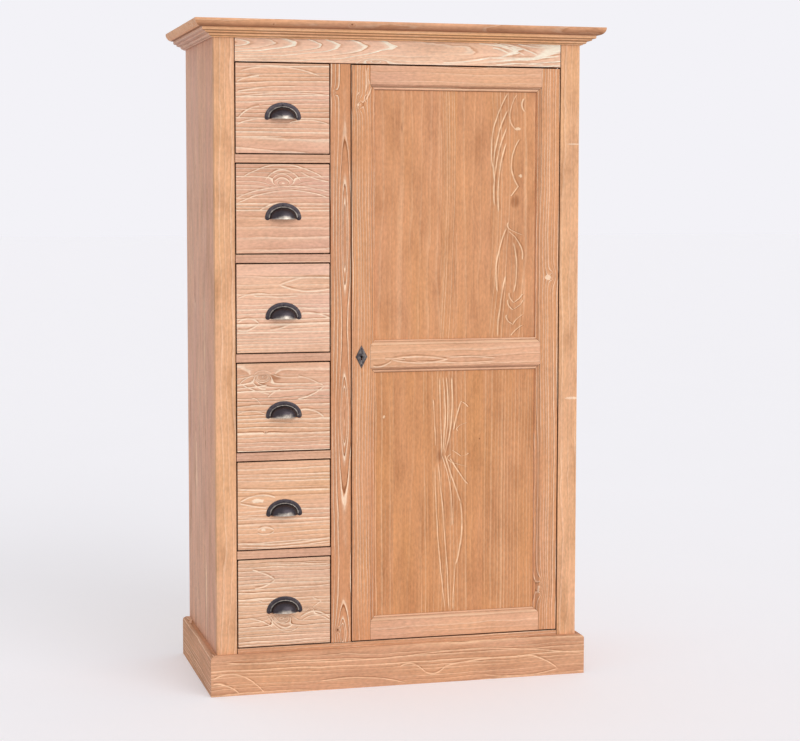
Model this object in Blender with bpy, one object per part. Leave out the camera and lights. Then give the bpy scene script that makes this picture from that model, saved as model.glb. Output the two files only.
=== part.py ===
"""Tall pine cabinet with six drawers on the left and one panelled, lockable door on the right.

Metres, +Z up. The cabinet stands on z = 0 and faces -Y, with its origin under the middle of its
bounding box. The fixed case is drawn straight in this frame. Each drawer, the door and the lock's
bolt hang on an empty that lies on the line along or about which they move.
"""

from math import cos, pi, sin, tau

import bmesh
import bpy
from mathutils import Matrix

# Fits: between pieces that touch, round a drawer or the door, and beside a running drawer
fit_gap = 0.0003
leaf_gap = 0.003
running_gap = 0.001
overrun = 0.004
weld_share = 0.1
crease_angle = pi / 6

# Face frame, whose members lie flush with the drawers and the door
stile_width = 0.058
mullion_width = 0.059
frame_thickness = 0.022
drawer_count = 6
drawer_opening_width = 0.273
drawer_opening_height = 0.256
drawer_rail_height = 0.024
door_opening_width = 0.627
bottom_rail_reveal = 0.0145
bottom_rail_height = 0.070
top_rail_height = 0.092

# Joinery: tenon sizes are shares of the member that carries them
tenon_length = 0.024
tenon_thickness_share = 0.36
tenon_height_share = 0.72
housing_depth_share = 0.3

# Case
carcass_depth = 0.520
side_thickness = 0.020
partition_thickness = 0.020
bottom_thickness = 0.020
back_thickness = 0.010
dust_board_thickness = 0.018
shelf_thickness = 0.018
shelf_count = 3
shelf_setback = 0.012
door_stop_lap = 0.008
door_stop_thickness = 0.012
guide_height = 0.020
board_arris = 0.001

# Top board and the moulding under it
top_thickness = 0.022
top_overhang = 0.060
top_round_drop = 0.014
top_round_reach = 0.015
top_round_steps = 5
crown_height = 0.026
crown_projection = 0.037
crown_outline_shares = (
    (0.95, -0.12), (0.85, -0.28), (0.71, -0.43), (0.54, -0.54), (0.44, -0.58),
    (0.42, -0.67), (0.35, -0.76), (0.23, -0.92), (0.10, -1.00),
)

# Plinth
plinth_height = 0.1155
plinth_thickness = 0.0215
plinth_round = 0.008
plinth_fillet = 0.0015
plinth_round_steps = 4

# Door
door_thickness = 0.022
door_member_flat = 0.054
middle_rail_flat = 0.064
middle_rail_centre = 0.956
sticking_width = 0.015
sticking_depth = 0.011
sticking_outline_shares = (
    (0.00, 0.12), (0.12, 0.12), (0.30, 0.22), (0.44, 0.42), (0.50, 0.58),
    (0.58, 0.58), (0.70, 0.50), (0.84, 0.56), (0.94, 0.74),
)
panel_thickness = 0.007
groove_depth = 0.008

# Pivot hinges: the pins stand this many door gaps in from the door's hinge edge and front face,
# so the door's corner turns clear of the stile (it would touch at 2.4)
pivot_inset_share = 2.0
pivot_pin_radius = 0.0025
pivot_clearance = 0.0001
pivot_leaf_thickness = 0.0025
pivot_leaf_length = 0.042
pivot_leaf_width = 0.0095
pin_sides = 24

# Lock
keyhole_backset = 0.028
keyhole_radius = 0.0034
keyhole_slot_width = 0.003
keyhole_slot_drop = 0.010
keyhole_sides = 24
lock_height = 0.040
lock_thickness = 0.011
lock_tail = 0.014
lock_margin = 0.006
bolt_height = 0.016
bolt_thickness = 0.006
bolt_setback = 0.001
bolt_throw = 0.009
strike_thickness = 0.0015
strike_height = 0.050
strike_width = 0.0095
escutcheon_width = 0.034
escutcheon_height = 0.066
escutcheon_thickness = 0.0015

# Drawers
drawer_front_thickness = 0.020
drawer_lap = 0.008
drawer_side_thickness = 0.012
drawer_side_drop = 0.010
drawer_bottom_thickness = 0.006
drawer_bottom_rise = 0.010

# Cup pulls
pull_width = 0.104
pull_height = 0.049
pull_rise = 0.096
pull_flange_width = 0.0145
pull_flange_thickness = 0.002
pull_wall = 0.002
pull_projection = 0.026
pull_lip_rise = 0.003
pull_pin_radius = 0.0028
pull_pin_height = 0.0014
pull_arc_steps = 20
pull_bulge_steps = 6
pull_foot_steps = 8
pull_pin_sides = 10

# Places that follow from the sizes
opening_bottom = plinth_height + bottom_rail_reveal
drawer_pitch = drawer_opening_height + drawer_rail_height
opening_top = opening_bottom + drawer_count * drawer_pitch - drawer_rail_height
case_top = opening_top + top_rail_height
carcass_width = 2 * stile_width + drawer_opening_width + mullion_width + door_opening_width

left_x = -carcass_width / 2
right_x = carcass_width / 2
drawer_left_x = left_x + stile_width
drawer_right_x = drawer_left_x + drawer_opening_width
door_left_x = drawer_right_x + mullion_width
door_right_x = door_left_x + door_opening_width
side_inner_left_x = left_x + side_thickness
side_inner_right_x = right_x - side_thickness
partition_left_x = (drawer_right_x + door_left_x - partition_thickness) / 2
partition_right_x = partition_left_x + partition_thickness

face_y = -(carcass_depth - top_overhang) / 2
back_y = face_y + carcass_depth
inside_front_y = face_y + frame_thickness + fit_gap
inside_back_y = back_y - back_thickness - fit_gap
frame_middle_y = face_y + frame_thickness / 2

side_housing = housing_depth_share * side_thickness
partition_housing = housing_depth_share * partition_thickness
bottom_housing = housing_depth_share * bottom_thickness

leaf_left_x = door_left_x + leaf_gap
leaf_right_x = door_right_x - leaf_gap
leaf_bottom = opening_bottom + leaf_gap
leaf_top = opening_top - leaf_gap
door_back_y = face_y + door_thickness
pivot_inset = pivot_inset_share * leaf_gap
pivot_x = leaf_right_x - pivot_inset
pivot_y = face_y + pivot_inset
lock_x = leaf_left_x + keyhole_backset
lock_y = door_back_y - lock_thickness / 2

guide_proud = leaf_gap - running_gap
drawer_middle_x = (drawer_left_x + drawer_right_x) / 2
drawer_half_width = drawer_opening_width / 2 - leaf_gap
drawer_length = inside_back_y - fit_gap - face_y
drawer_side_top = drawer_opening_height - leaf_gap - drawer_side_drop


def clear_scene():
    """Start from an empty scene."""
    for old in list(bpy.data.objects):
        bpy.data.objects.remove(old, do_unlink=True)


def surface(name, colour, roughness, metallic=0.0):
    """A plain finish with one colour all over."""
    finish = bpy.data.materials.new(name)
    finish.use_nodes = True
    shader = finish.node_tree.nodes["Principled BSDF"]
    shader.inputs["Base Color"].default_value = (*colour, 1.0)
    shader.inputs["Roughness"].default_value = roughness
    shader.inputs["Metallic"].default_value = metallic
    finish.diffuse_color = (*colour, 1.0)
    return finish


def loose(bm):
    """Turn a bmesh into an object that has no name of its own yet."""
    bmesh.ops.recalc_face_normals(bm, faces=bm.faces)
    mesh = bpy.data.meshes.new("shape")
    bm.to_mesh(mesh)
    bm.free()
    shape = bpy.data.objects.new("shape", mesh)
    bpy.context.scene.collection.objects.link(shape)
    return shape


def block(low, high, arris=0.0):
    """A block between two corners, with its edges eased by the arris."""
    bm = bmesh.new()
    bmesh.ops.create_cube(bm, size=1)
    for corner in bm.verts:
        corner.co = [b if side > 0 else a for a, b, side in zip(low, high, corner.co)]
    if arris:
        bmesh.ops.bevel(bm, geom=bm.edges[:], offset=arris, segments=1, profile=0.5, affect="EDGES")
    return loose(bm)


def grown(corners, by):
    """The corners of a block that is larger all round."""
    low, high = corners
    return tuple(a - by for a in low), tuple(b + by for b in high)


def strip(outline, place, start, end, start_mitre=0, end_mitre=0):
    """A strip with one outline all along.

    The outline's points are (out, up), and place turns (out, up, run) into a point of the cabinet.
    A mitred end runs on, or with a mitre of -1 falls short, by as much as the outline stands out.
    """
    bm = bmesh.new()
    rings = []
    for run, slope in ((start, -start_mitre), (end, end_mitre)):
        points = [place(out, up, run + slope * out) for out, up in outline]
        rings.append([bm.verts.new(point) for point in points])
    first, last = rings
    bm.faces.new(first)
    bm.faces.new(last)
    for k in range(len(outline)):
        n = (k + 1) % len(outline)
        bm.faces.new((first[k], first[n], last[n], last[k]))
    return loose(bm)


def arc(centre, radii, start, end, steps):
    """Points along part of an ellipse, both ends included."""
    turns = [start + (end - start) * k / steps for k in range(steps + 1)]
    return [(centre[0] + radii[0] * cos(t), centre[1] + radii[1] * sin(t)) for t in turns]


def combine(body, operation, tools):
    """Join the tools to a body or cut them out of it, and clear them away."""
    for tool in tools:
        step = body.modifiers.new("step", "BOOLEAN")
        step.solver = "EXACT"
        step.operation = operation
        step.object = tool
    graph = bpy.context.evaluated_depsgraph_get()
    mesh = bpy.data.meshes.new_from_object(body.evaluated_get(graph))
    body.modifiers.clear()
    body.data = mesh
    for tool in tools:
        bpy.data.objects.remove(tool, do_unlink=True)
    return body


def join(body, *tools):
    """Make the tools one with the body."""
    return combine(body, "UNION", tools)


def cut(body, *tools):
    """Take the tools' shapes out of the body."""
    return combine(body, "DIFFERENCE", tools)


def axis_empty(name, point, parent=None):
    """An empty on the line of a joint."""
    empty = bpy.data.objects.new(name, None)
    empty.empty_display_size = stile_width
    bpy.context.scene.collection.objects.link(empty)
    empty.parent = parent
    origin = world_place(parent)
    empty.location = [p - o for p, o in zip(point, origin)]
    return empty


def world_place(empty):
    """Where an empty stands in the cabinet, counted through its parents."""
    place = [0.0, 0.0, 0.0]
    while empty:
        place = [a + b for a, b in zip(place, empty.location)]
        empty = empty.parent
    return place


def named(body, name, finish, smooth_angle=None):
    """Give a shape its name and finish, and put its origin in the middle of its own box."""
    body.name = name
    mesh = body.data
    mesh.name = name
    mesh.materials.clear()
    mesh.materials.append(finish)
    if smooth_angle:
        mesh.shade_smooth()
        mesh.set_sharp_from_angle(angle=smooth_angle)
    corners = [[corner[axis] for corner in body.bound_box] for axis in range(3)]
    middle = [(min(values) + max(values)) / 2 for values in corners]
    mesh.transform(Matrix.Translation([-value for value in middle]))
    body.location = middle
    return body


def hang(body, empty):
    """Hang a piece that is drawn in the cabinet's frame on an empty."""
    origin = world_place(empty)
    body.parent = empty
    body.location = [a - b for a, b in zip(body.location, origin)]
    return body


def copy_piece(body, name, parent=None, shift=(0, 0, 0)):
    """Another piece with the same mesh."""
    twin = body.copy()
    twin.name = name
    bpy.context.scene.collection.objects.link(twin)
    if parent:
        twin.parent = parent
    twin.location = [a + b for a, b in zip(body.location, shift)]
    return twin


def rail_tenon(x_low, x_high, z_low, z_high, middle_y, thickness):
    """The corners of a tenon that lies along X, as high as its share of the rail."""
    margin = (1 - tenon_height_share) / 2 * (z_high - z_low)
    half = tenon_thickness_share * thickness / 2
    return (x_low, middle_y - half, z_low + margin), (x_high, middle_y + half, z_high - margin)


def post_tenon(x_low, x_high, z_low, z_high):
    """The corners of a tenon on the end of the mullion."""
    margin = (1 - tenon_height_share) / 2 * (x_high - x_low)
    half = tenon_thickness_share * frame_thickness / 2
    low = (x_low + margin, frame_middle_y - half, z_low)
    high = (x_high - margin, frame_middle_y + half, z_high)
    return low, high


def mortise(corners):
    """The hole that takes a tenon, with its clearance."""
    return block(*grown(corners, fit_gap))


def tenons_of(x_left, x_right, z_low, z_high):
    """The two tenons of a face frame rail between two edges."""
    return [
        rail_tenon(x_left - tenon_length, x_left + overrun, z_low, z_high, frame_middle_y, frame_thickness),
        rail_tenon(x_right - overrun, x_right + tenon_length, z_low, z_high, frame_middle_y, frame_thickness),
    ]


def drawer_level(k):
    """The height of the bottom of a drawer's opening, counted from the top drawer down."""
    return opening_bottom + (drawer_count - k) * drawer_pitch


def divider_levels():
    """The lower edges of the rails between the drawers, from the top down."""
    return [drawer_level(k) - drawer_rail_height for k in range(1, drawer_count)]


def shelf_levels():
    """The undersides of the shelves, which share out the height behind the door."""
    step = (opening_top - opening_bottom) / (shelf_count + 1)
    return [opening_bottom + step * (k + 1) - shelf_thickness / 2 for k in range(shelf_count)]


top_rail_tenons = tenons_of(drawer_left_x, door_right_x, opening_top, case_top)
bottom_rail_tenons = tenons_of(
    drawer_left_x, door_right_x, opening_bottom - bottom_rail_height, opening_bottom)
mullion_tenons = [
    post_tenon(drawer_right_x, door_left_x, opening_bottom - tenon_length, opening_bottom + overrun),
    post_tenon(drawer_right_x, door_left_x, opening_top - overrun, opening_top + tenon_length),
]
divider_tenons = [
    tenons_of(drawer_left_x, drawer_right_x, level, level + drawer_rail_height)
    for level in divider_levels()
]

# The slot that the bolt shoots into, and the plate let in round it
bolt_slot_depth = bolt_setback + bolt_throw
bolt_socket = (
    (door_left_x - bolt_slot_depth, lock_y - bolt_thickness / 2 - fit_gap,
     middle_rail_centre - bolt_height / 2 - fit_gap),
    (door_left_x + overrun, lock_y + bolt_thickness / 2 + fit_gap,
     middle_rail_centre + bolt_height / 2 + fit_gap),
)
strike_corners = (
    (door_left_x - strike_thickness, lock_y - strike_width / 2, middle_rail_centre - strike_height / 2),
    (door_left_x, lock_y + strike_width / 2, middle_rail_centre + strike_height / 2),
)

# The hinge plates: one let into each end of the door, and one into each rail opposite
pivot_leaf_left_x = pivot_x - pivot_leaf_length + pivot_inset
door_leaf_right_x = pivot_x + pivot_leaf_width / 2
lower_door_leaf = (
    (pivot_leaf_left_x, pivot_y - pivot_leaf_width / 2, leaf_bottom),
    (door_leaf_right_x, pivot_y + pivot_leaf_width / 2, leaf_bottom + pivot_leaf_thickness),
)
upper_door_leaf = (
    (pivot_leaf_left_x, pivot_y - pivot_leaf_width / 2, leaf_top - pivot_leaf_thickness),
    (door_leaf_right_x, pivot_y + pivot_leaf_width / 2, leaf_top),
)
lower_frame_leaf = (
    (pivot_leaf_left_x, pivot_y - pivot_leaf_width / 2, opening_bottom - pivot_leaf_thickness),
    (door_leaf_right_x, pivot_y + pivot_leaf_width / 2, opening_bottom),
)
upper_frame_leaf = (
    (pivot_leaf_left_x, pivot_y - pivot_leaf_width / 2, opening_top),
    (door_leaf_right_x, pivot_y + pivot_leaf_width / 2, opening_top + pivot_leaf_thickness),
)


def let_in(corners, x_out=0.0, y_out=0.0, z_out=0.0):
    """The recess for a plate, run out past the face that the plate lies flush with."""
    low, high = grown(corners, fit_gap)
    low = tuple(a + min(out, 0) for a, out in zip(low, (x_out, y_out, z_out)))
    high = tuple(b + max(out, 0) for b, out in zip(high, (x_out, y_out, z_out)))
    return block(low, high)


def build_face_frame(finish):
    """The two stiles, the mullion and the long rails."""
    left_mortises = [bottom_rail_tenons[0], top_rail_tenons[0]] + [pair[0] for pair in divider_tenons]
    left = block((left_x, face_y, 0), (drawer_left_x, face_y + frame_thickness, case_top - fit_gap))
    named(cut(left, *[mortise(place) for place in left_mortises]), "frame_stile_left", finish)

    right = block((door_right_x, face_y, 0), (right_x, face_y + frame_thickness, case_top - fit_gap))
    right_mortises = [bottom_rail_tenons[1], top_rail_tenons[1]]
    named(cut(right, *[mortise(place) for place in right_mortises]), "frame_stile_right", finish)

    mullion = block(
        (drawer_right_x, face_y, opening_bottom + fit_gap),
        (door_left_x, face_y + frame_thickness, opening_top - fit_gap))
    join(mullion, *[block(*place) for place in mullion_tenons])
    tools = [mortise(pair[1]) for pair in divider_tenons]
    tools += [block(*bolt_socket), let_in(strike_corners, x_out=overrun)]
    named(cut(mullion, *tools), "frame_mullion", finish)

    rails = (
        ("frame_rail_top", opening_top, case_top - fit_gap, top_rail_tenons,
         mullion_tenons[1], let_in(upper_frame_leaf, z_out=-overrun)),
        ("frame_rail_bottom", opening_bottom - bottom_rail_height, opening_bottom, bottom_rail_tenons,
         mullion_tenons[0], let_in(lower_frame_leaf, z_out=overrun)),
    )
    for name, low, high, tenons, mullion_tenon, leaf_recess in rails:
        rail = block(
            (drawer_left_x + fit_gap, face_y, low),
            (door_right_x - fit_gap, face_y + frame_thickness, high))
        join(rail, *[block(*place) for place in tenons])
        named(cut(rail, mortise(mullion_tenon), leaf_recess), name, finish)


def housed_left(z_low, thickness):
    """The corners of a board housed in the left side and the partition."""
    return (
        (side_inner_left_x - side_housing, inside_front_y, z_low),
        (partition_left_x + partition_housing, inside_back_y, z_low + thickness),
    )


def housed_right(z_low):
    """The corners of a shelf housed in the partition and the right side."""
    front = shelf_front_y()
    return (
        (partition_right_x - partition_housing, front, z_low),
        (side_inner_right_x + side_housing, inside_back_y, z_low + shelf_thickness),
    )


def stop_front_y():
    """The face that the closed door meets, behind both the door and the frame."""
    return max(door_back_y, face_y + frame_thickness) + fit_gap


def shelf_front_y():
    """The shelves' front edges, a little behind the door stop."""
    return stop_front_y() + door_stop_thickness + shelf_setback


def bottom_board_corners():
    """The corners of the bottom board, housed in both sides."""
    return (
        (side_inner_left_x - side_housing, inside_front_y, opening_bottom - bottom_thickness),
        (side_inner_right_x + side_housing, inside_back_y, opening_bottom),
    )


def dust_board_places():
    """The boards on the drawers' side of the partition, the kicker over the top drawer included."""
    rails = [level + drawer_rail_height - dust_board_thickness for level in divider_levels()]
    return [housed_left(z, dust_board_thickness) for z in [opening_top] + rails]


def build_case(finish):
    """The sides, the partition, the bottom, the back and the shelves."""
    bottom_place = bottom_board_corners()
    dust_places = dust_board_places()
    shelf_places = [housed_right(z) for z in shelf_levels()]

    left = block((left_x, inside_front_y, 0), (side_inner_left_x, back_y, case_top - fit_gap))
    tools = [mortise(place) for place in [bottom_place] + dust_places]
    named(cut(left, *tools), "side_panel_left", finish)

    right = block((side_inner_right_x, inside_front_y, 0), (right_x, back_y, case_top - fit_gap))
    tools = [mortise(place) for place in [bottom_place] + shelf_places]
    named(cut(right, *tools), "side_panel_right", finish)

    partition_place = (
        (partition_left_x, inside_front_y, opening_bottom - bottom_housing),
        (partition_right_x, inside_back_y, case_top - fit_gap),
    )
    tools = [mortise(place) for place in dust_places + shelf_places]
    named(cut(block(*partition_place), *tools), "partition_panel", finish)

    bottom = join(block(*bottom_place), *drawer_guides(opening_bottom))
    named(cut(bottom, mortise(partition_place)), "bottom_board", finish)

    back = block(
        (side_inner_left_x + fit_gap, back_y - back_thickness, opening_bottom - bottom_thickness),
        (side_inner_right_x - fit_gap, back_y, case_top - fit_gap))
    named(back, "back_panel", finish)

    named(block(*dust_places[0]), "drawer_kicker_board", finish)

    shelf = named(block(*shelf_places[0], arris=board_arris), "shelf_1", finish)
    for k, z in enumerate(shelf_levels()[1:], start=2):
        copy_piece(shelf, f"shelf_{k}", shift=(0, 0, z - shelf_levels()[0]))

    stop = block(
        (partition_right_x + fit_gap, stop_front_y(), opening_bottom + fit_gap),
        (door_left_x + door_stop_lap, stop_front_y() + door_stop_thickness, opening_top),
        arris=board_arris)
    named(stop, "door_stop_strip", finish)


def drawer_guides(floor_z):
    """The two strips that keep a drawer straight, sunk a little into the board below them."""
    root_z = floor_z - dust_board_thickness / 2
    return [
        block(
            (side_inner_left_x + fit_gap, inside_front_y, root_z),
            (drawer_left_x + guide_proud, inside_back_y, floor_z + guide_height)),
        block(
            (drawer_right_x - guide_proud, inside_front_y, root_z),
            (partition_left_x - fit_gap, inside_back_y, floor_z + guide_height)),
    ]


def build_drawer_dividers(finish):
    """Between two drawers: the rail of the face frame, its dust board and the drawer guides."""
    level = divider_levels()[0]
    top = level + drawer_rail_height
    rail = block(
        (drawer_left_x + fit_gap, face_y, level),
        (drawer_right_x - fit_gap, face_y + frame_thickness, top))
    tongue = block(
        (drawer_left_x + guide_proud, frame_middle_y, top - dust_board_thickness),
        (drawer_right_x - guide_proud, inside_front_y + overrun, top))
    board = block(*housed_left(top - dust_board_thickness, dust_board_thickness))
    tenons = [block(*place) for place in divider_tenons[0]]
    join(rail, tongue, board, *drawer_guides(top), *tenons)
    first = named(rail, "drawer_divider_1", finish)
    for k, z in enumerate(divider_levels()[1:], start=2):
        copy_piece(first, f"drawer_divider_{k}", shift=(0, 0, z - level))


def build_top_board(finish):
    """The top board, rounded under at the front and both ends and flush at the back."""
    lower_edge = arc(
        (top_round_reach, top_round_drop), (-top_round_reach, -top_round_drop), pi / 2, 0, top_round_steps)
    levels = lower_edge + [(0, top_thickness - board_arris), (board_arris, top_thickness)]
    reach_x = carcass_width / 2 + top_overhang
    front_y = face_y - top_overhang
    bm = bmesh.new()
    rings = []
    for inset, rise in levels:
        x, y, z = reach_x - inset, front_y + inset, case_top + rise
        ring = [(-x, y, z), (x, y, z), (x, back_y, z), (-x, back_y, z)]
        rings.append([bm.verts.new(point) for point in ring])
    for below, above in zip(rings, rings[1:]):
        for k in range(len(below)):
            n = (k + 1) % len(below)
            bm.faces.new((below[k], below[n], above[n], above[k]))
    bm.faces.new(rings[0])
    bm.faces.new(rings[-1])
    named(loose(bm), "top_board", finish, smooth_angle=crease_angle)


def build_trim(name, outline, base_z, finish):
    """A moulding or plinth board on the front and on both sides, mitred at the two front corners."""
    half = carcass_width / 2
    front = strip(
        outline, lambda out, up, run: (run, face_y - out, base_z + up), -half, half, 1, 1)
    left = strip(
        outline, lambda out, up, run: (-half - out, run, base_z + up), face_y + fit_gap, back_y, 1, 0)
    right = strip(
        outline, lambda out, up, run: (half + out, run, base_z + up), face_y + fit_gap, back_y, 1, 0)
    for side, piece in (("front", front), ("left", left), ("right", right)):
        named(piece, f"{name}_{side}", finish, smooth_angle=crease_angle)


def build_crown_moulding(finish):
    """The stepped moulding that fills the corner under the top board."""
    shaped = [(crown_projection * out, crown_height * up) for out, up in crown_outline_shares]
    top = -fit_gap
    outline = [(fit_gap, top), (crown_projection, top)] + shaped + [(fit_gap, -crown_height)]
    build_trim("cornice_moulding", outline, case_top, finish)


def build_plinth(finish):
    """Plinth boards with a rounded upper edge that ends in a small fillet."""
    round_z = plinth_height - plinth_fillet - plinth_round
    rounded = arc(
        (plinth_thickness - plinth_round, round_z), (plinth_round, plinth_round), 0, pi / 2,
        plinth_round_steps)
    fillet_out = plinth_thickness - plinth_round
    outline = [(fit_gap, 0), (plinth_thickness, 0)] + rounded
    outline += [(fillet_out, plinth_height), (fit_gap, plinth_height)]
    build_trim("plinth", outline, 0, finish)


def sticking_outline():
    """The moulded inner edge of a door member with its groove: (inward, back from the front)."""
    shaped = [(sticking_width * a, sticking_depth * b) for a, b in sticking_outline_shares]
    groove_in = sticking_width - groove_depth
    groove_back = sticking_depth + panel_thickness + fit_gap
    front = shaped + [(sticking_width, sticking_depth - fit_gap)]
    groove = [
        (groove_in, sticking_depth - fit_gap), (groove_in, groove_back), (sticking_width, groove_back)]
    return front + groove + [(sticking_width, door_thickness), (0, door_thickness)]


def rail_edges():
    """The flat faces of the door's three rails, as (name, low, high)."""
    half = middle_rail_flat / 2
    return (
        ("door_rail_bottom", leaf_bottom, leaf_bottom + door_member_flat),
        ("door_rail_middle", middle_rail_centre - half, middle_rail_centre + half),
        ("door_rail_top", leaf_top - door_member_flat, leaf_top),
    )


def door_tenon_spans(name, low, high):
    """The heights of a door rail's tenons: the middle rail has two, above and below the lock."""
    margin = (1 - tenon_height_share) / 2 * (high - low)
    if name != "door_rail_middle":
        return [(low + margin, high - margin)]
    clear = lock_height / 2 + lock_margin
    reach = (high - low) / 2 + sticking_width - leaf_gap
    centre = (low + high) / 2
    return [(centre - reach, centre - clear), (centre + clear, centre + reach)]


def door_tenons(name, low, high):
    """The corners of a door rail's tenons, as (left ones, right ones)."""
    half = tenon_thickness_share * door_thickness / 2
    middle_y = face_y + door_thickness / 2
    left_edge = leaf_left_x + door_member_flat
    right_edge = leaf_right_x - door_member_flat
    reaches = (
        (left_edge - tenon_length, left_edge + overrun),
        (right_edge - overrun, right_edge + tenon_length),
    )
    sides = ([], [])
    for z_low, z_high in door_tenon_spans(name, low, high):
        for side, (x_low, x_high) in zip(sides, reaches):
            side.append(((x_low, middle_y - half, z_low), (x_high, middle_y + half, z_high)))
    return sides


def keyhole(radius_extra, y_low, y_high):
    """A keyhole tool: a round hole with a slot below, through the given depth."""
    radius = keyhole_radius + radius_extra
    half_slot = keyhole_slot_width / 2 + radius_extra
    hole = arc((lock_x, middle_rail_centre), (radius, radius), 0, tau, keyhole_sides)[:-1]
    disc = strip(hole, lambda x, z, run: (x, run, z), y_low, y_high)
    slot = block(
        (lock_x - half_slot, y_low, middle_rail_centre - keyhole_slot_drop - radius_extra),
        (lock_x + half_slot, y_high, middle_rail_centre))
    return disc, slot


def lock_corners():
    """The lock's case, flush with the back and the edge of the door."""
    half = lock_height / 2
    return (
        (leaf_left_x, door_back_y - lock_thickness, middle_rail_centre - half),
        (lock_x + lock_tail, door_back_y, middle_rail_centre + half),
    )


def build_door_frame(finish, hinge):
    """The door's stiles and rails, moulded round both panels and mitred at the corners."""
    outline = sticking_outline()
    edges = rail_edges()
    spans = [(edges[0][2], edges[1][1]), (edges[1][2], edges[2][1])]
    left_edge = leaf_left_x + door_member_flat
    right_edge = leaf_right_x - door_member_flat
    tenons = [door_tenons(*edge) for edge in edges]

    lock_stile = block((leaf_left_x, face_y, leaf_bottom), (left_edge, door_back_y, leaf_top))
    hinge_stile = block((right_edge, face_y, leaf_bottom), (leaf_right_x, door_back_y, leaf_top))
    for low, high in spans:
        join(lock_stile, strip(
            outline, lambda out, up, run: (left_edge + out, face_y + up, run),
            low + fit_gap, high - fit_gap, -1, -1))
        join(hinge_stile, strip(
            outline, lambda out, up, run: (right_edge - out, face_y + up, run),
            low + fit_gap, high - fit_gap, -1, -1))
    left_tenons = [place for pair in tenons for place in pair[0]]
    right_tenons = [place for pair in tenons for place in pair[1]]
    cut(lock_stile, *[mortise(place) for place in left_tenons])
    cut(lock_stile, let_in(lock_corners(), x_out=-overrun), let_in(lock_corners(), y_out=overrun))
    cut(lock_stile, *keyhole(fit_gap, face_y - overrun, door_back_y - lock_thickness + overrun))
    hang(named(lock_stile, "door_stile_lock", finish), hinge)
    cut(hinge_stile, *[mortise(place) for place in right_tenons])
    cut(hinge_stile, let_in(lower_door_leaf, z_out=-overrun), let_in(upper_door_leaf, z_out=overrun))
    hang(named(hinge_stile, "door_stile_hinge", finish), hinge)

    for k, (name, low, high) in enumerate(edges):
        rail = block(
            (left_edge + fit_gap, face_y, low), (right_edge - fit_gap, door_back_y, high))
        if k < 2:
            join(rail, strip(
                outline, lambda out, up, run: (run, face_y + up, high + out),
                left_edge + fit_gap, right_edge - fit_gap, -1, -1))
        if k > 0:
            join(rail, strip(
                outline, lambda out, up, run: (run, face_y + up, low - out),
                left_edge + fit_gap, right_edge - fit_gap, -1, -1))
        join(rail, *[block(*place) for place in tenons[k][0] + tenons[k][1]])
        hang(named(rail, name, finish), hinge)


def build_door_panels(finish, hinge):
    """The two flat panels, loose in their grooves."""
    edges = rail_edges()
    inset = sticking_width - groove_depth + fit_gap
    left = leaf_left_x + door_member_flat + inset
    right = leaf_right_x - door_member_flat - inset
    front = face_y + sticking_depth
    for name, below, above in (("lower", 0, 1), ("upper", 1, 2)):
        panel = block(
            (left, front, edges[below][2] + inset),
            (right, front + panel_thickness, edges[above][1] - inset))
        hang(named(panel, f"door_panel_{name}", finish), hinge)


def round_bar(x, y, z_low, z_high, radius):
    """An upright round bar."""
    ring = arc((x, y), (radius, radius), 0, tau, pin_sides)[:-1]
    return strip(ring, lambda a, b, run: (a, b, run), z_low, z_high)


def build_pivots(finish, hinge):
    """The pin plates in the door's ends, and the plates in the frame that hold the pins."""
    pin_reach = leaf_gap + pivot_leaf_thickness
    bore = pivot_pin_radius + pivot_clearance

    upper = block(*upper_door_leaf)
    pin = round_bar(pivot_x, pivot_y, leaf_top - pivot_leaf_thickness / 2, leaf_top + pin_reach,
                    pivot_pin_radius)
    hang(named(join(upper, pin), "door_pivot_top", finish), hinge)

    lower = block(*lower_door_leaf)
    pin = round_bar(pivot_x, pivot_y, leaf_bottom - pin_reach, leaf_bottom + pivot_leaf_thickness / 2,
                    pivot_pin_radius)
    hang(named(join(lower, pin), "door_pivot_bottom", finish), hinge)

    for name, corners in (("pivot_plate_top", upper_frame_leaf), ("pivot_plate_bottom", lower_frame_leaf)):
        z_low, z_high = corners[0][2] - overrun, corners[1][2] + overrun
        plate = cut(block(*corners), round_bar(pivot_x, pivot_y, z_low, z_high, bore))
        named(plate, name, finish)


def build_lock(iron, steel, hinge, slide):
    """The lock's case, its bolt, the plate that takes the bolt and the keyhole plate."""
    low, high = lock_corners()
    case = block(low, high)
    half_height = bolt_height / 2 + fit_gap
    half_thickness = bolt_thickness / 2 + fit_gap
    channel = block(
        (low[0] - overrun, lock_y - half_thickness, middle_rail_centre - half_height),
        (lock_x + keyhole_radius + fit_gap, lock_y + half_thickness, middle_rail_centre + half_height))
    cut(case, channel)
    cut(case, *keyhole(fit_gap, low[1] - overrun, lock_y))
    hang(named(case, "lock_case", iron), hinge)

    bolt_low_z = middle_rail_centre - bolt_height / 2
    bolt_tail_x = lock_x - keyhole_radius - fit_gap
    bolt = block(
        (leaf_left_x + bolt_setback, lock_y - bolt_thickness / 2, bolt_low_z),
        (bolt_tail_x, lock_y + bolt_thickness / 2, bolt_low_z + bolt_height))
    hang(named(bolt, "lock_bolt", steel), slide)

    strike = cut(block(*strike_corners), block(*bolt_socket))
    named(strike, "strike_plate", steel)

    half_width = escutcheon_width / 2
    half_height = escutcheon_height / 2
    diamond = [
        (lock_x - half_width, middle_rail_centre), (lock_x, middle_rail_centre - half_height),
        (lock_x + half_width, middle_rail_centre), (lock_x, middle_rail_centre + half_height),
    ]
    back = face_y - fit_gap
    plate = strip(diamond, lambda x, z, run: (x, run, z), back - escutcheon_thickness, back)
    cut(plate, *keyhole(0.0, back - escutcheon_thickness - overrun, back + overrun))
    hang(named(plate, "escutcheon", iron), hinge)


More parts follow.
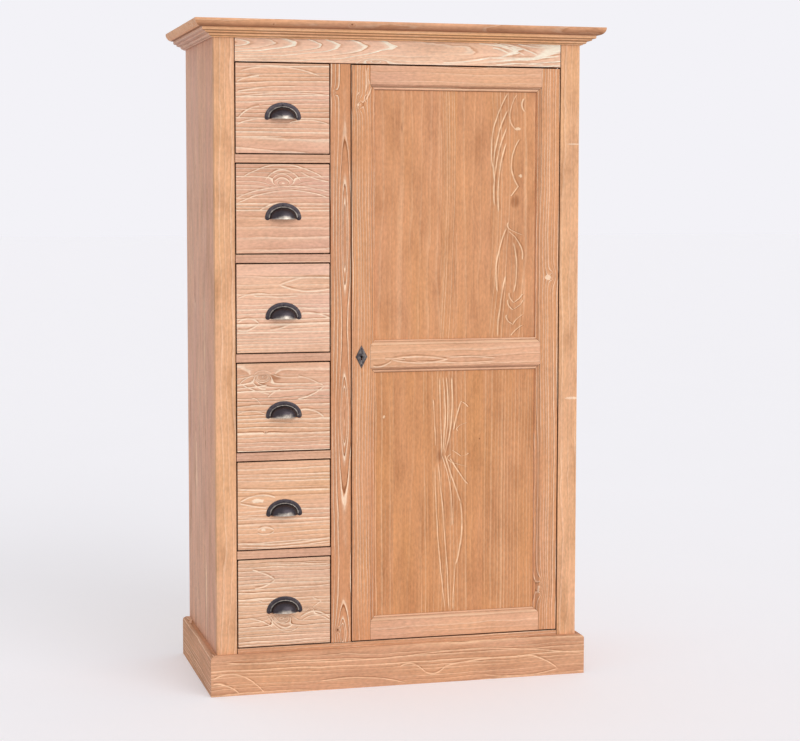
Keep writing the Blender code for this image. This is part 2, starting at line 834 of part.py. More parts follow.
def drawer_front_shape():
    """A drawer's front, rebated at both ends for the sides, in the drawer's own frame."""
    low = (-drawer_half_width, 0, leaf_gap)
    high = (drawer_half_width, drawer_front_thickness, drawer_opening_height - leaf_gap)
    rebate_in = drawer_half_width - drawer_side_thickness - fit_gap
    front = block(low, high, arris=board_arris)
    for side in (-1, 1):
        near, far = sorted((side * rebate_in, side * (drawer_half_width + overrun)))
        cut(front, block(
            (near, drawer_lap, low[2] - overrun), (far, drawer_front_thickness + overrun, high[2] + overrun)))
    return front


def drawer_box_shape():
    """A drawer's sides, back and bottom, glued up as one, in the drawer's own frame."""
    inner = drawer_half_width - drawer_side_thickness
    front = drawer_lap + fit_gap
    box = block(
        (-drawer_half_width, front, fit_gap), (drawer_half_width, drawer_length, drawer_side_top))
    floor_top = drawer_bottom_rise + drawer_bottom_thickness
    back_inner = drawer_length - drawer_side_thickness
    hollow = block((-inner, front - overrun, floor_top), (inner, back_inner, drawer_side_top + overrun))
    under = block((-inner, front - overrun, -overrun), (inner, drawer_length + overrun, drawer_bottom_rise))
    mouth = block(
        (-inner, front - overrun, -overrun),
        (inner, drawer_front_thickness + fit_gap, drawer_side_top + overrun))
    return cut(box, hollow, under, mouth)


def pull_shape():
    """A cup pull: a flange with two rounded feet, and a bulging shell open underneath."""
    foot = pull_flange_width / 2
    outer = (pull_width / 2, pull_height - foot)
    inner = (outer[0] - pull_flange_width, outer[1] - pull_flange_width)
    foot_x = outer[0] - foot
    back = -fit_gap
    outline = arc((0, foot), outer, 0, pi, pull_arc_steps)
    outline += arc((-foot_x, foot), (foot, foot), pi, tau, pull_foot_steps)[1:-1]
    outline += arc((0, foot), inner, pi, 0, pull_arc_steps)
    outline += arc((foot_x, foot), (foot, foot), pi, tau, pull_foot_steps)[1:-1]
    flange = strip(outline, lambda x, z, run: (x, run, z), back - pull_flange_thickness, back)

    shell_out = [radius + pull_wall / 2 for radius in inner]
    shell_in = [radius - pull_wall / 2 for radius in inner]
    crescent = arc((0, 0), shell_out, 0, pi, pull_arc_steps) + arc((0, 0), shell_in, pi, 0, pull_arc_steps)
    bm = bmesh.new()
    face = bm.faces.new([bm.verts.new((x, 0, z)) for x, z in crescent])
    geometry = [face] + list(face.edges) + list(face.verts)
    bmesh.ops.spin(
        bm, geom=geometry, cent=(0, 0, 0), axis=(1, 0, 0), angle=pi / 2, steps=pull_bulge_steps)
    bmesh.ops.remove_doubles(bm, verts=bm.verts, dist=weld_share * fit_gap)
    bmesh.ops.scale(bm, vec=(1, pull_projection / shell_out[1], 1), verts=bm.verts)
    bmesh.ops.translate(bm, vec=(0, back, foot), verts=bm.verts)
    weld = weld_share * fit_gap
    lip_faces = [face for face in bm.faces if all(abs(v.co.z - foot) < weld for v in face.verts)]
    skirt = bmesh.ops.extrude_face_region(bm, geom=lip_faces)
    skirt_verts = [item for item in skirt["geom"] if isinstance(item, bmesh.types.BMVert)]
    bmesh.ops.translate(bm, vec=(0, 0, pull_lip_rise - foot), verts=skirt_verts)
    bmesh.ops.delete(bm, geom=lip_faces, context="FACES_ONLY")
    join(flange, loose(bm))

    pin_places = [(0, pull_height - pull_flange_width / 2), (-foot_x, foot), (foot_x, foot)]
    for x, z in pin_places:
        head = arc((x, z), (pull_pin_radius, pull_pin_radius), 0, tau, pull_pin_sides)[:-1]
        join(flange, strip(
            head, lambda a, b, run: (a, run, b),
            back - pull_flange_thickness - pull_pin_height, back - pull_flange_thickness / 2))
    return flange


def build_drawers(front_finish, box_finish, iron):
    """Six like drawers, each hung on the empty that it slides along."""
    for k in range(1, drawer_count + 1):
        slide = axis_empty(f"drawer_{k}_slide", (drawer_middle_x, face_y, drawer_level(k)))
        if k == 1:
            front = named(drawer_front_shape(), "drawer_1_front", front_finish)
            box = named(drawer_box_shape(), "drawer_1_box", box_finish)
            pull = named(pull_shape(), "drawer_1_pull", iron, smooth_angle=crease_angle)
            pull.location.z += pull_rise
            for piece in (front, box, pull):
                piece.parent = slide
        else:
            copy_piece(front, f"drawer_{k}_front", parent=slide)
            copy_piece(box, f"drawer_{k}_box", parent=slide)
            copy_piece(pull, f"drawer_{k}_pull", parent=slide)


def build_cabinet():
    """Every piece of the cabinet, from the case outwards."""
    case_pine = surface("case_pine", (0.56, 0.31, 0.17), 0.6)
    frame_pine = surface("frame_pine", (0.64, 0.34, 0.18), 0.55)
    trim_pine = surface("trim_pine", (0.61, 0.34, 0.20), 0.55)
    door_pine = surface("door_pine", (0.63, 0.33, 0.19), 0.55)
    panel_pine = surface("panel_pine", (0.57, 0.30, 0.16), 0.55)
    drawer_pine = surface("drawer_pine", (0.66, 0.37, 0.22), 0.55)
    inner_pine = surface("inner_pine", (0.68, 0.48, 0.30), 0.7)
    old_iron = surface("old_iron", (0.11, 0.10, 0.095), 0.45, 0.8)
    lock_steel = surface("lock_steel", (0.42, 0.40, 0.37), 0.35, 1.0)

    build_case(case_pine)
    build_face_frame(frame_pine)
    build_drawer_dividers(frame_pine)
    build_top_board(trim_pine)
    build_crown_moulding(trim_pine)
    build_plinth(trim_pine)

    hinge = axis_empty("door_swing", (pivot_x, pivot_y, leaf_bottom))
    bolt_slide = axis_empty("lock_bolt_slide", (leaf_left_x, lock_y, middle_rail_centre), hinge)
    build_door_frame(door_pine, hinge)
    build_door_panels(panel_pine, hinge)
    build_pivots(lock_steel, hinge)
    build_lock(old_iron, lock_steel, hinge, bolt_slide)
    build_drawers(drawer_pine, inner_pine, old_iron)


clear_scene()
build_cabinet()
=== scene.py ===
"""Tall cabinet in stained, brushed pine: six drawers with iron cup pulls, and a panelled door.

Metres, +Z up, the front faces -Y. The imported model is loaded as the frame, and the pieces that
show are made again here with finer edges, mouldings and ironwork, each where its solid stands.
"""

from collections import namedtuple
from math import pi, radians

import bmesh
import bpy
from mathutils import Matrix, Vector


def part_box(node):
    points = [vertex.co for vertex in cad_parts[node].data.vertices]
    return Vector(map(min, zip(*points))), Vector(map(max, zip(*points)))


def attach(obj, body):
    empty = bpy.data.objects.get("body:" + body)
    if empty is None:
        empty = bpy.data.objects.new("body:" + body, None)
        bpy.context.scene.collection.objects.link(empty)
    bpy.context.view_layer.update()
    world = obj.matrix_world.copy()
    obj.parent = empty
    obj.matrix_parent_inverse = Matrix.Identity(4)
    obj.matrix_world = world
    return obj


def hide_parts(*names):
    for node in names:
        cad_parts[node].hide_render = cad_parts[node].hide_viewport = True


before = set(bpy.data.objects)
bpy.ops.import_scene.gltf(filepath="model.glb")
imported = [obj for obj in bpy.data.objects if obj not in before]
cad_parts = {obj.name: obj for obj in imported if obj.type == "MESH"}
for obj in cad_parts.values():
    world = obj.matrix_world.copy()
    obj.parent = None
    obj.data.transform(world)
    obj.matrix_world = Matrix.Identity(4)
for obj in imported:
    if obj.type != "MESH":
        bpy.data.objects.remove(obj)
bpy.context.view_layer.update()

# Places that the solids give
case_left, face_y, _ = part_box("frame_stile_left")[0]
case_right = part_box("frame_stile_right")[1].x
case_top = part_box("top_board")[0].z
case_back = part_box("back_panel")[1].y
keyhole_x = sum(corner.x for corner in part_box("escutcheon")) / 2
keyhole_z = sum(corner.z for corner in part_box("escutcheon")) / 2

# Edges and fits
weld = 1e-6
flat_angle = radians(0.5)
square_angle = radians(60)
soft_angle = radians(32)
fine_arris = 0.0005
dark_arris = 0.0012
worn_arris = 0.0014
drawer_arris = 0.001
board_arris = 0.0008
inner_arris = 0.0006

# How an edge is marked: below 0 it darkens, with dark joints, end-grain stain and painted shade;
# above 0 it pales, with wear and painted highlight
widest_gap, steep_gap, usual_gap = -1.25, -0.8, -0.6


def paint(red, green, blue):
    """A colour as a screen shows it, from 0 to 255, as the light that a surface returns."""
    shares = [value / 255 for value in (red, green, blue)]
    return [s / 12.92 if s <= 0.04045 else ((s + 0.055) / 1.055) ** 2.4 for s in shares] + [1.0]


def maths(operation, reflected=False):
    """A Math node on a signal and any other values, which stand first where it is reflected."""
    def worked_out(signal, *others):
        values = (*others, signal) if reflected else (signal, *others)
        kind = "ShaderNodeMath"
        return signal.finish.node(kind, {"operation": operation}, dict(enumerate(values)))
    return worked_out


class Signal:
    """A value, place or colour that changes over a surface; sums on it add the nodes they need."""

    def __init__(self, finish, socket):
        self.finish = finish
        self.socket = socket

    __add__ = __radd__ = maths("ADD")
    __sub__, __rsub__ = maths("SUBTRACT"), maths("SUBTRACT", reflected=True)
    __mul__ = __rmul__ = maths("MULTIPLY")
    __truediv__, __rtruediv__ = maths("DIVIDE"), maths("DIVIDE", reflected=True)
    __pow__, __rpow__ = maths("POWER"), maths("POWER", reflected=True)
    __gt__, __lt__ = maths("GREATER_THAN"), maths("LESS_THAN")
    __abs__ = maths("ABSOLUTE")
    root = maths("SQRT")
    part = maths("FRACT")
    whole = maths("FLOOR")
    larger = maths("MAXIMUM")
    times_plus = maths("MULTIPLY_ADD")

    def rise(self, start, end):
        """A soft step from 0 at the start to 1 at the end; it falls where the end is the lower."""
        low, high = min(start, end), max(start, end)
        sockets = {"Value": self, "From Min": low, "From Max": high,
                   "To Min": float(start > end), "To Max": float(start < end)}
        return self.finish.node("ShaderNodeMapRange", {"interpolation_type": "SMOOTHSTEP"}, sockets)


class Recipe:
    """A set of nodes in the making."""

    def __init__(self, tree):
        self.tree = tree

    def node(self, kind, settings, sockets, output=0):
        """Add a node, give it its settings and then its sockets' values or links."""
        made = self.tree.nodes.new(kind)
        for key, value in settings.items():
            setattr(made, key, value)
        for key, value in sockets.items():
            self.feed(made.inputs[key], value)
        return Signal(self, made.outputs[output])

    def feed(self, socket, value):
        """Give a socket a number or a link."""
        if isinstance(value, Signal):
            self.tree.links.new(value.socket, socket)
        else:
            socket.default_value = value[:3] if socket.type == "VECTOR" else value


class Finish(Recipe):
    """A material in the making."""

    def __init__(self, name, **constants):
        self.material = bpy.data.materials.new(name)
        self.material.use_nodes = True
        super().__init__(self.material.node_tree)
        self.shader = self.tree.nodes["Principled BSDF"]
        self.set(**constants)

    def set(self, **values):
        """Feed the surface's own sockets; an underscore in a name stands for a space."""
        for key, value in values.items():
            self.feed(self.shader.inputs[key.replace("_", " ")], value)
        return self

    def place(self):
        """The point on the piece, as three values."""
        spot = self.node("ShaderNodeTexCoord", {}, {}, output="Object")
        split = self.node("ShaderNodeSeparateXYZ", {}, {"Vector": spot})
        return [Signal(self, socket) for socket in split.socket.node.outputs]

    def mixed(self, share, first, second):
        """Two colours mixed."""
        sockets = {0: share, 6: first, 7: second}
        return self.node("ShaderNodeMix", {"data_type": "RGBA"}, sockets, output=2)

    def scaled(self, colour, factor):
        """A colour made lighter or darker."""
        sockets = {0: colour, "Scale": factor}
        return self.node("ShaderNodeVectorMath", {"operation": "SCALE"}, sockets)

    def mark(self, name):
        """A value that the piece's mesh carries."""
        return self.node("ShaderNodeAttribute", {"attribute_name": name}, {}, output="Fac")

    def relief(self, height):
        """Raise the surface by a height in millimetres."""
        bump = self.node("ShaderNodeBump", {}, {"Height": height, "Distance": 0.001})
        return self.set(Normal=bump)


def cloud(finish, place, across, along, seed=0.0, detail=1.0):
    """Soft noise drawn out along the grain, from about -1 to 1, with so many spots to the metre."""
    u, v, w = place
    spot = finish.node(
        "ShaderNodeCombineXYZ", {}, {"X": u * across + seed, "Y": v * along, "Z": w * across})
    noise = finish.node(
        "ShaderNodeTexNoise", {"noise_dimensions": "3D"},
        {"Vector": spot, "Scale": 1.0, "Detail": detail, "Roughness": 0.5})
    return noise * 2 - 1


def one_in_each(finish, number):
    """A random level from 0 to 1 for each whole number."""
    return finish.node("ShaderNodeTexWhiteNoise", {"noise_dimensions": "1D"}, {"W": number})


def stepped(u, edges, values):
    """A number that jumps to its next value at each edge."""
    level = values[0]
    for edge, before, after in zip(edges, values, values[1:]):
        if after != before:
            level = (u > edge) * (after - before) + level
    return level


# A board that a panel is glued up from, and how it was sawn out of the log. It starts at an edge
# across the piece. The log's heart lies so far to the side of the piece's middle and so deep
# behind its face, and leans away for each metre along the grain; a ring is so thick. All of these
# are in metres. The tone is the board's lightness, and the lines are how strongly its rings show.
Stave = namedtuple("Stave", "edge heart depth lean ring tone lines",
                   defaults=(None, 0.0, 0.03, 0.0, 0.011, 1.0, 1.0))

# The stain's colours: soft wood, the hard lines that the brush leaves proud, the hollows, and the
# marked faces
soft_stain = paint(216, 163, 127)
hard_stain = paint(255, 218, 186)
# The hollows: stain gathered in the soft wood, with painted shade beside the proud lines
deep_stain_and_shade = paint(166, 108, 72)
# Pale faces: wear on the edges, with painted highlight where a face turns to the light
wear_and_highlight_stain = paint(246, 204, 168)
knot_stain = paint(140, 84, 52)
# Dark faces: joints and end-grain stain, with painted shade in gaps, under overhangs and where a
# face turns down
end_grain_stain_and_shade = paint(84, 30, 10)

# How the soft wood drifts to other shades: shares of its red, green and blue
golden_share, rosy_share = (1.02, 1.00, 0.92, 1), (0.98, 0.97, 1.06, 1)
ember_share = (0.80, 0.66, 0.56, 1)

# Widths of the hard lines that are drawn in, in millimetres
bold, thin = 2.8, 2.0

# How blunt the points of an eye are, and how many rings a shape and a knot add
eye_point, shape_rings, knot_rings = 0.03, 1.35, 6.0

# Pine without stain, for the inside
raw_soft = paint(248, 208, 164)
raw_hard = paint(216, 154, 106)


def ridge(u, v, places, width):
    """A single hard line that the brush left proud, less the hollow on its right, darkened by
    gathered stain and painted shade.
    """
    u0, v0, u1, v1, u2, v2 = places
    via = (v1 - v0) / (v2 - v0)
    square = ((u1 - u0) - via * (u2 - u0)) / (via * via - via)
    scale = 1 / (v2 - v0)
    s = v.times_plus(scale, -v0 * scale)
    off = u - s.times_plus(square, u2 - u0 - square).times_plus(s, u0)
    hollow = abs(off - 1.7 * width).rise(1.3 * width, 0.0)
    line = hollow.times_plus(-0.6, abs(off).rise(width, 0.25 * width))
    return line * s.rise(-0.02, 0.05) * s.rise(1.02, 0.95)


def hump(square_u, off_v):
    """1 in the middle of a shape, and less and less around it."""
    return (square_u + off_v * off_v + 1) ** -2.0


def pine(name, run, face, middle, staves, eyes=(), swirls=(), knots=(), ridges=(), spots=(),
         blots=(), wave=1.0, lines=1.0, soft=soft_stain, hard=hard_stain, deep=deep_stain_and_shade, seed=0.0,
         mottle=0.05, flat_from=None):
    """Stained, brushed pine with its year rings.

    The grain runs along one axis and the face looks along another. The staves give most of the
    rings, which lean less from flat_from on. What else is drawn in is in millimetres, across and
    along the grain from the piece's middle. An eye is a place, its half width, half length and
    rings, and is pointed; a swirl is the same but round. A knot has a radius, a ridge three places
    and a width. Pale spots and dark blots have a half width and half length.
    """
    finish = Finish(f"stained pine, {name}")
    spot = [value - centre for value, centre in zip(finish.place(), middle)]
    u, v, w = place = spot[3 - run - face], spot[run], spot[face]
    edges = [stave.edge for stave in staves[1:]]

    def of_stave(key):
        """What the staves say, each over its own width."""
        return stepped(u, edges, [getattr(stave, key) for stave in staves])

    def off_from(*shape):
        """How far a point is from a place, in half widths and half lengths."""
        across, along, half_width, half_length = (value / 1000 for value in shape)
        return (u - across) / half_width, (v - along) / half_length

    shift = stepped(u, edges, list(range(len(staves)))) * 13.7 + seed
    away = u - of_stave("heart")
    sloping = v if flat_from is None else v - (v - flat_from).larger(0.0) * 0.6
    down = sloping * of_stave("lean") + of_stave("depth") - w
    rings = (away * away + down * down).root() / of_stave("ring")
    rings = rings + cloud(finish, place, 7.0, 1.3, shift) * (1.4 * wave)
    rings = rings + cloud(finish, place, 30.0, 7.0, shift + 5) * (0.4 * wave)
    rings = rings + cloud(finish, place, 120.0, 30.0, shift + 5) * (0.10 * wave)
    for *shape, strength in eyes:
        off_u, off_v = off_from(*shape)
        rings = rings + hump((off_u * off_u + eye_point).root(), off_v) * (shape_rings * strength)
    for *shape, strength in swirls:
        off_u, off_v = off_from(*shape)
        rings = rings + hump(off_u * off_u, off_v) * (shape_rings * strength)
    core = 0.0
    for across, along, radius in knots:
        off_u, off_v = off_from(across, along, radius, 1.5 * radius)
        near = hump(off_u * off_u, off_v)
        rings = rings + near * knot_rings
        core = near.rise(0.35, 0.95) + core
    spread = finish.node(
        "ShaderNodeTexNoise", {"noise_dimensions": "1D"}, {"W": rings * 0.7, "Scale": 1.0})
    rings = rings + spread * 1.1
    force = one_in_each(finish, rings.whole() + seed)
    force = (force * 0.8 + 0.4) * (cloud(finish, place, 12.0, 4.0, shift + 9) * 1.4 + 1.0)
    force = force.rise(0.0, 1.0) * of_stave("lines") * lines

    # Each ring: a proud line of late wood, and a hollow behind it, darkened by gathered stain and
    # painted shade
    t = rings.part()
    late = (t.rise(0.50, 0.88) * 0.3 + t.rise(0.78, 0.88) * 0.7) * t.rise(1.0, 0.95)
    hollow = t.rise(0.18, 0.02)
    proud, sunk = late * force, hollow * force * 0.7
    if ridges:
        sway = u + cloud(finish, place, 60.0, 14.0, seed + 12) * 0.0025
        drawn = 0.0
        for row in ridges:
            *places, width = (value / 1000 for value in row)
            drawn = drawn + ridge(sway, v, places, width)
        drawn = drawn * (cloud(finish, place, 45.0, 20.0, seed + 15) * 0.8 + 0.9)
        proud, sunk = proud.larger(drawn), sunk.larger(drawn * -1.0)
    for shape in spots:
        off_u, off_v = off_from(*shape)
        torn = cloud(finish, place, 180.0, 120.0, seed + 14, 2.0) * 1.2
        proud = proud.larger((off_u * off_u + off_v * off_v + torn).rise(1.1, 0.5))
    for shape in blots:
        off_u, off_v = off_from(*shape)
        sunk = sunk.larger((off_u * off_u + off_v * off_v).rise(1.2, 0.0) * 0.75)

    # Fibres, flecks and patches of stain
    fibre = cloud(finish, place, 420.0, 9.0, seed, 2.0)
    strand = cloud(finish, place, 130.0, 3.0, seed + 3, 2.0)
    fleck = cloud(finish, place, 190.0, 70.0, seed + 6, 2.0)
    patch = cloud(finish, place, 16.0, 6.0, shift + 2, 3.0)
    warmth = cloud(finish, place, 11.0, 2.0, shift + 4, 2.0) * 0.9 + 0.5

    golden, rosy, ember = (
        [value * share for value, share in zip(soft, shares)]
        for shares in (golden_share, rosy_share, ember_share))
    colour = finish.mixed(warmth, golden, rosy)
    colour = finish.mixed(patch * (-8.0 * mottle), colour, ember)
    # The hollows darken with gathered stain and painted shade
    colour = finish.mixed(sunk, colour, deep)
    colour = finish.mixed(proud, colour, hard)
    level = fibre * 0.14 + strand * 0.15 + fleck * 0.24 + patch * (2.4 * mottle) + 1.02
    colour = finish.scaled(colour, level * of_stave("tone"))
    inside = finish.mixed(late * force * 0.6 + strand * 0.3 + 0.1, raw_soft, raw_hard)
    colour = finish.mixed(finish.mark("raw"), colour, inside)
    if knots:
        colour = finish.mixed(core, colour, knot_stain)
    # The mesh's marks: above 0 paler, with wear and painted highlight; below 0 darker, with joints,
    # end-grain stain and painted shade
    wear_and_painted_light = finish.mark("arris")
    colour = finish.mixed(wear_and_painted_light * (patch * 0.8 + 0.7), colour, wear_and_highlight_stain)
    colour = finish.mixed(wear_and_painted_light * -0.8, colour, end_grain_stain_and_shade)
    finish.set(
        Specular_IOR_Level=0.05, Base_Color=colour, Roughness=fibre * 0.06 + 0.56 - late * 0.06)
    return finish.relief(proud * 0.35 - sunk * 0.2 + fibre * 0.06).material


def raw_pine(name, run, board=1.0):
    """Planed pine without stain, for the inside, with darker year rings and a knot here and there.

    Across the grain, each board of the given width is cut from another part of the tree.
    """
    finish = Finish(name)
    spot = finish.place()
    side, face = (axis for axis in range(3) if axis != run)
    u, v, w = place = spot[side], spot[run], spot[face]
    tree = (u * (1 / board) + 0.5).whole() * 7.3
    sway = cloud(finish, place, 6.0, 0.9, tree + 3.0) * 3.5
    sway = sway + cloud(finish, place, 30.0, 5.0, tree) * 0.4
    rings = (u * 0.8 + w * 0.6) * 110 + sway + tree
    knot = cloud(finish, place, 13.0, 8.0, tree + 21.0, 0.0).rise(0.58, 0.70)
    rings = rings + knot * 2.0
    t = rings.part()
    late = t.rise(0.45, 0.92) * t.rise(1.0, 0.95)
    force = cloud(finish, place, 14.0, 2.0, 4.0) * 0.5 + 0.7
    fibre = cloud(finish, place, 420.0, 9.0, 1.0, 2.0)
    colour = finish.mixed(late * force * 0.7, raw_soft, raw_hard)
    colour = finish.mixed(knot * 0.8, colour, knot_stain)
    patch = cloud(finish, place, 10.0, 2.5, tree + 6.0)
    tone = one_in_each(finish, tree)
    colour = finish.scaled(colour, fibre * 0.06 + patch * 0.10 + tone * 0.10 + 0.95)
    finish.set(Specular_IOR_Level=0.25, Base_Color=colour, Roughness=fibre * 0.05 + 0.6)
    return finish.relief(late * 0.05 + fibre * 0.05).material


def old_iron():
    """Dark, waxed iron, bright from wear on its edges and where fingers touch it; the same mark
    carries painted highlights on the pulls.
    """
    finish = Finish("old iron", Metallic=0.9)
    spot = finish.place()
    blotch = cloud(finish, spot, 90.0, 90.0, 2.0, 3.0)
    grit = cloud(finish, spot, 900.0, 900.0, 5.0, 2.0)
    # Wear, with painted highlights on the pulls' rims, shells and lips
    wear_and_painted_light = (finish.mark("rubbed") + blotch * 0.3).rise(0.1, 1.0)
    colour = finish.mixed(wear_and_painted_light, paint(66, 60, 64), paint(214, 203, 188))
    colour = finish.scaled(colour, grit * 0.15 + blotch * 0.25 + 1.0)
    finish.set(Base_Color=colour, Roughness=blotch * 0.12 + grit * 0.06 + 0.36 - wear_and_painted_light * 0.08)
    return finish.relief(grit * 0.02 + blotch * 0.05).material


def bright_steel():
    """Brushed steel for the bolt, the strike and the pivots."""
    finish = Finish("brushed steel", Metallic=1.0)
    spot = finish.place()
    brush = cloud(finish, spot, 2500.0, 60.0, 1.0, 1.0)
    blotch = cloud(finish, spot, 60.0, 60.0, 4.0, 2.0)
    colour = finish.scaled(paint(172, 168, 162), brush * 0.06 + blotch * 0.10 + 1.0)
    finish.set(Base_Color=colour, Roughness=brush * 0.06 + blotch * 0.08 + 0.34)
    return finish.relief(brush * 0.01).material


def mesh_of(bm, name):
    """A bmesh as a mesh."""
    mesh = bpy.data.meshes.new(name)
    bm.to_mesh(mesh)
    bm.free()
    return mesh


def put(name, data):
    """A mesh, light or camera as a new thing in the scene."""
    made = bpy.data.objects.new(name, data)
    bpy.context.scene.collection.objects.link(made)
    return made


def take(bm, name, finish, body, smooth=None, nodes=()):
    """Turn a bmesh into a finished piece that rides on a body and stands for its solids."""
    mesh = mesh_of(bm, name)
    mesh.materials.append(finish)
    if smooth:
        mesh.shade_smooth()
        mesh.set_sharp_from_angle(angle=smooth)
    piece = put(name, mesh)
    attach(piece, body)
    if nodes:
        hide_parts(*nodes)


def solid(node):
    """A merged copy of a CAD solid, with its flat faces whole again."""
    bm = bmesh.new()
    bm.from_mesh(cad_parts[node].data)
    bmesh.ops.remove_doubles(bm, verts=bm.verts, dist=weld)
    bmesh.ops.dissolve_limit(bm, angle_limit=flat_angle, verts=bm.verts, edges=bm.edges)
    return bm


def square_edges(bm, wanted):
    """The outer corners that are wanted."""
    convex = (e for e in bm.edges if len(e.link_faces) == 2 and e.is_convex)
    return [e for e in convex if e.calc_face_angle() > square_angle and wanted(e)]


def arris_layer(bm):
    """Where the marks of edges are kept, one for each face."""
    return bm.faces.layers.float.get("arris") or bm.faces.layers.float.new("arris")


def bevel(bm, edges, width, segments):
    """Round edges over."""
    return bmesh.ops.bevel(
        bm, geom=edges, offset=width, segments=segments, profile=0.5, affect="EDGES", material=-1)


def round_over(bm, edges, width, segments=2, mark=1.0):
    """Round edges over, and mark the narrow faces that this leaves."""
    layer = arris_layer(bm)
    for face in bevel(bm, edges, width, segments)["faces"]:
        face[layer] = mark


def on_plane(axis, level):
    """A test for the edges that lie in a plane."""
    return lambda edge: all(abs(v.co[axis] - level) < 10 * weld for v in edge.verts)


def ease(node, finish, body, width=board_arris, outer=None):
    """A solid again, with all its outer edges eased; only its outer side, if any, is stained."""
    bm = solid(node)
    raw = bm.faces.layers.float.new("raw")
    round_over(bm, square_edges(bm, lambda edge: True), width, mark=0.0)
    if outer:
        for face in bm.faces:
            face[raw] = float(face.normal.x * outer < -0.5)
    take(bm, f"{node}_finished", finish, body, soft_angle, [node])


def redo(node, finish, body, run, width=fine_arris, smooth=None, rub=usual_gap, ends=-1.0,
         end_width=None, sides=steep_gap, outer=0):
    """A solid again, with the edges of its face eased, and all but the face marked.

    The eased edges are marked by rub, or by ends across the grain, and the steep faces by sides;
    rub and sides may be rules that tell the mark from the way that a face looks. The outer side,
    if there is one, is part of the case's corner and stays light.
    """
    bm = solid(node)
    raw = bm.faces.layers.float.new("raw")
    if end_width:
        across = [e for e in square_edges(bm, on_plane(1, face_y))
                  if abs(e.verts[0].co[run] - e.verts[1].co[run]) < weld]
        round_over(bm, across, end_width)
    round_over(bm, square_edges(bm, on_plane(1, face_y)), width)
    layer = arris_layer(bm)
    # Face marks: painted shade on the steep faces in the gaps, end grain darkest with its stain and
    # painted shade, and painted light and shade on the mouldings by the way they face
    for face in bm.faces:
        face[raw] = float(face.normal.y > 0.9)
        if face.normal.x * outer > 0.3:
            face[layer] = 0.1
        elif abs(face.normal.y) < 0.6:
            side = sides(face.normal) if callable(sides) else sides
            face[layer] = -1.0 if abs(face.normal[run]) > 0.5 else side
        elif face[layer] and callable(rub):
            face[layer] = rub(face.normal)
        elif face[layer]:
            face[layer] = ends if abs(face.normal[run]) > 0.3 else rub
        elif abs(face.normal.y) < 0.95:
            face[layer] = moulded_face(face.normal)
    take(bm, f"{node}_finished", finish, body, smooth, [node])


def frame_edge(normal):
    """The painted shade on the face frame's edges: deepest in the widest gaps, over and left of the
    drawers, and slight where an edge faces up.
    """
    if normal.z < -0.3 or normal.x > 0.3:
        return widest_gap
    return -0.1 if normal.z > 0.3 else usual_gap


def moulded_face(normal):
    """The door's mouldings get painted highlight where they face up and painted light where they
    face left, and painted shade where they face down and, a little, elsewhere.
    """
    if normal.z > 0.2 or normal.x < -0.2:
        return 0.8 if normal.z > 0.2 else 0.35
    return -0.55 if normal.z < -0.2 else -0.12


def steep_side(normal):
    """The steep faces of the door's rails and stile: painted light if they face up or left, or else
    painted shade.
    """
    return 0.6 if normal.z > 0.3 or normal.x < -0.3 else steep_gap


def drawer_edge(normal):
    """A drawer front's edge gets painted shade at the wide gaps, and at the others is paler from
    wear and painted highlight.
    """
    return widest_gap if normal.x < -0.3 or normal.z > 0.3 else 0.45


def move(bm, verts, way):
    """Shift points."""
    bmesh.ops.translate(bm, vec=way, verts=verts)


def slab(bm, low, high):
    """Add a block between two corners."""
    low, high = Vector(low), Vector(high)
    made = bmesh.ops.create_cube(bm, size=1)["verts"]
    bmesh.ops.scale(bm, vec=high - low, verts=made)
    move(bm, made, (low + high) / 2)


def middle_of(node):
    """The middle of a solid's box, on its front face."""
    low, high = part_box(node)
    return [(low.x + high.x) / 2, low.y, (low.z + high.z) / 2]


def verts_of(made):
    """The points in what an operator has made."""
    return [item for item in made["geom"] if isinstance(item, bmesh.types.BMVert)]


def cut_away(bm, verts, normal):
    """Cut off what lies on the side of the origin that a normal points to."""
    group = set(verts)
    edges = [e for e in bm.edges if group.issuperset(e.verts)]
    faces = [f for f in bm.faces if group.issuperset(f.verts)]
    bmesh.ops.bisect_plane(
        bm, geom=list(verts) + edges + faces, dist=weld, plane_co=(0, 0, 0), plane_no=normal,
        clear_outer=True)


def pin_head(bm, place, radius, height):
    """A small domed pin head that faces the front."""
    made = bmesh.ops.create_uvsphere(bm, u_segments=16, v_segments=8, radius=1)["verts"]
    bmesh.ops.scale(bm, vec=(radius, height, radius), verts=made)
    move(bm, made, place)


# The pull's parts, from the middle of its two feet
pull_outer, pull_inner = (0.052, 0.04175), (0.0375, 0.02725)
pull_foot = 0.00725
pull_back = -0.0003
pull_flange = 0.002
pull_wall = 0.002
pull_bead = 0.0018
pull_projection = 0.026
pull_lip = 0.00425
pull_edge = 0.0009
pull_pin, pull_pin_height = 0.0027, 0.0012

# How bright the iron is from wear and painted highlight, and how far from the middle of a pull's
# lip
rim_highlight, bead_rub, shell_wear_and_highlight, flange_rub, pin_rub, plate_rub = 0.9, 0.42, 0.8, 0.12, 0.05, 0.25
pull_wear_and_highlight_wide, pull_wear_and_highlight_high = 0.030, 0.012


def upright_circle(bm, segments, radius, filled=False):
    """Add a circle that faces the front."""
    made = bmesh.ops.create_circle(bm, segments=segments, radius=radius, cap_ends=filled)["verts"]
    bmesh.ops.rotate(bm, cent=(0, 0, 0), matrix=Matrix.Rotation(pi / 2, 3, "X"), verts=made)
    return made


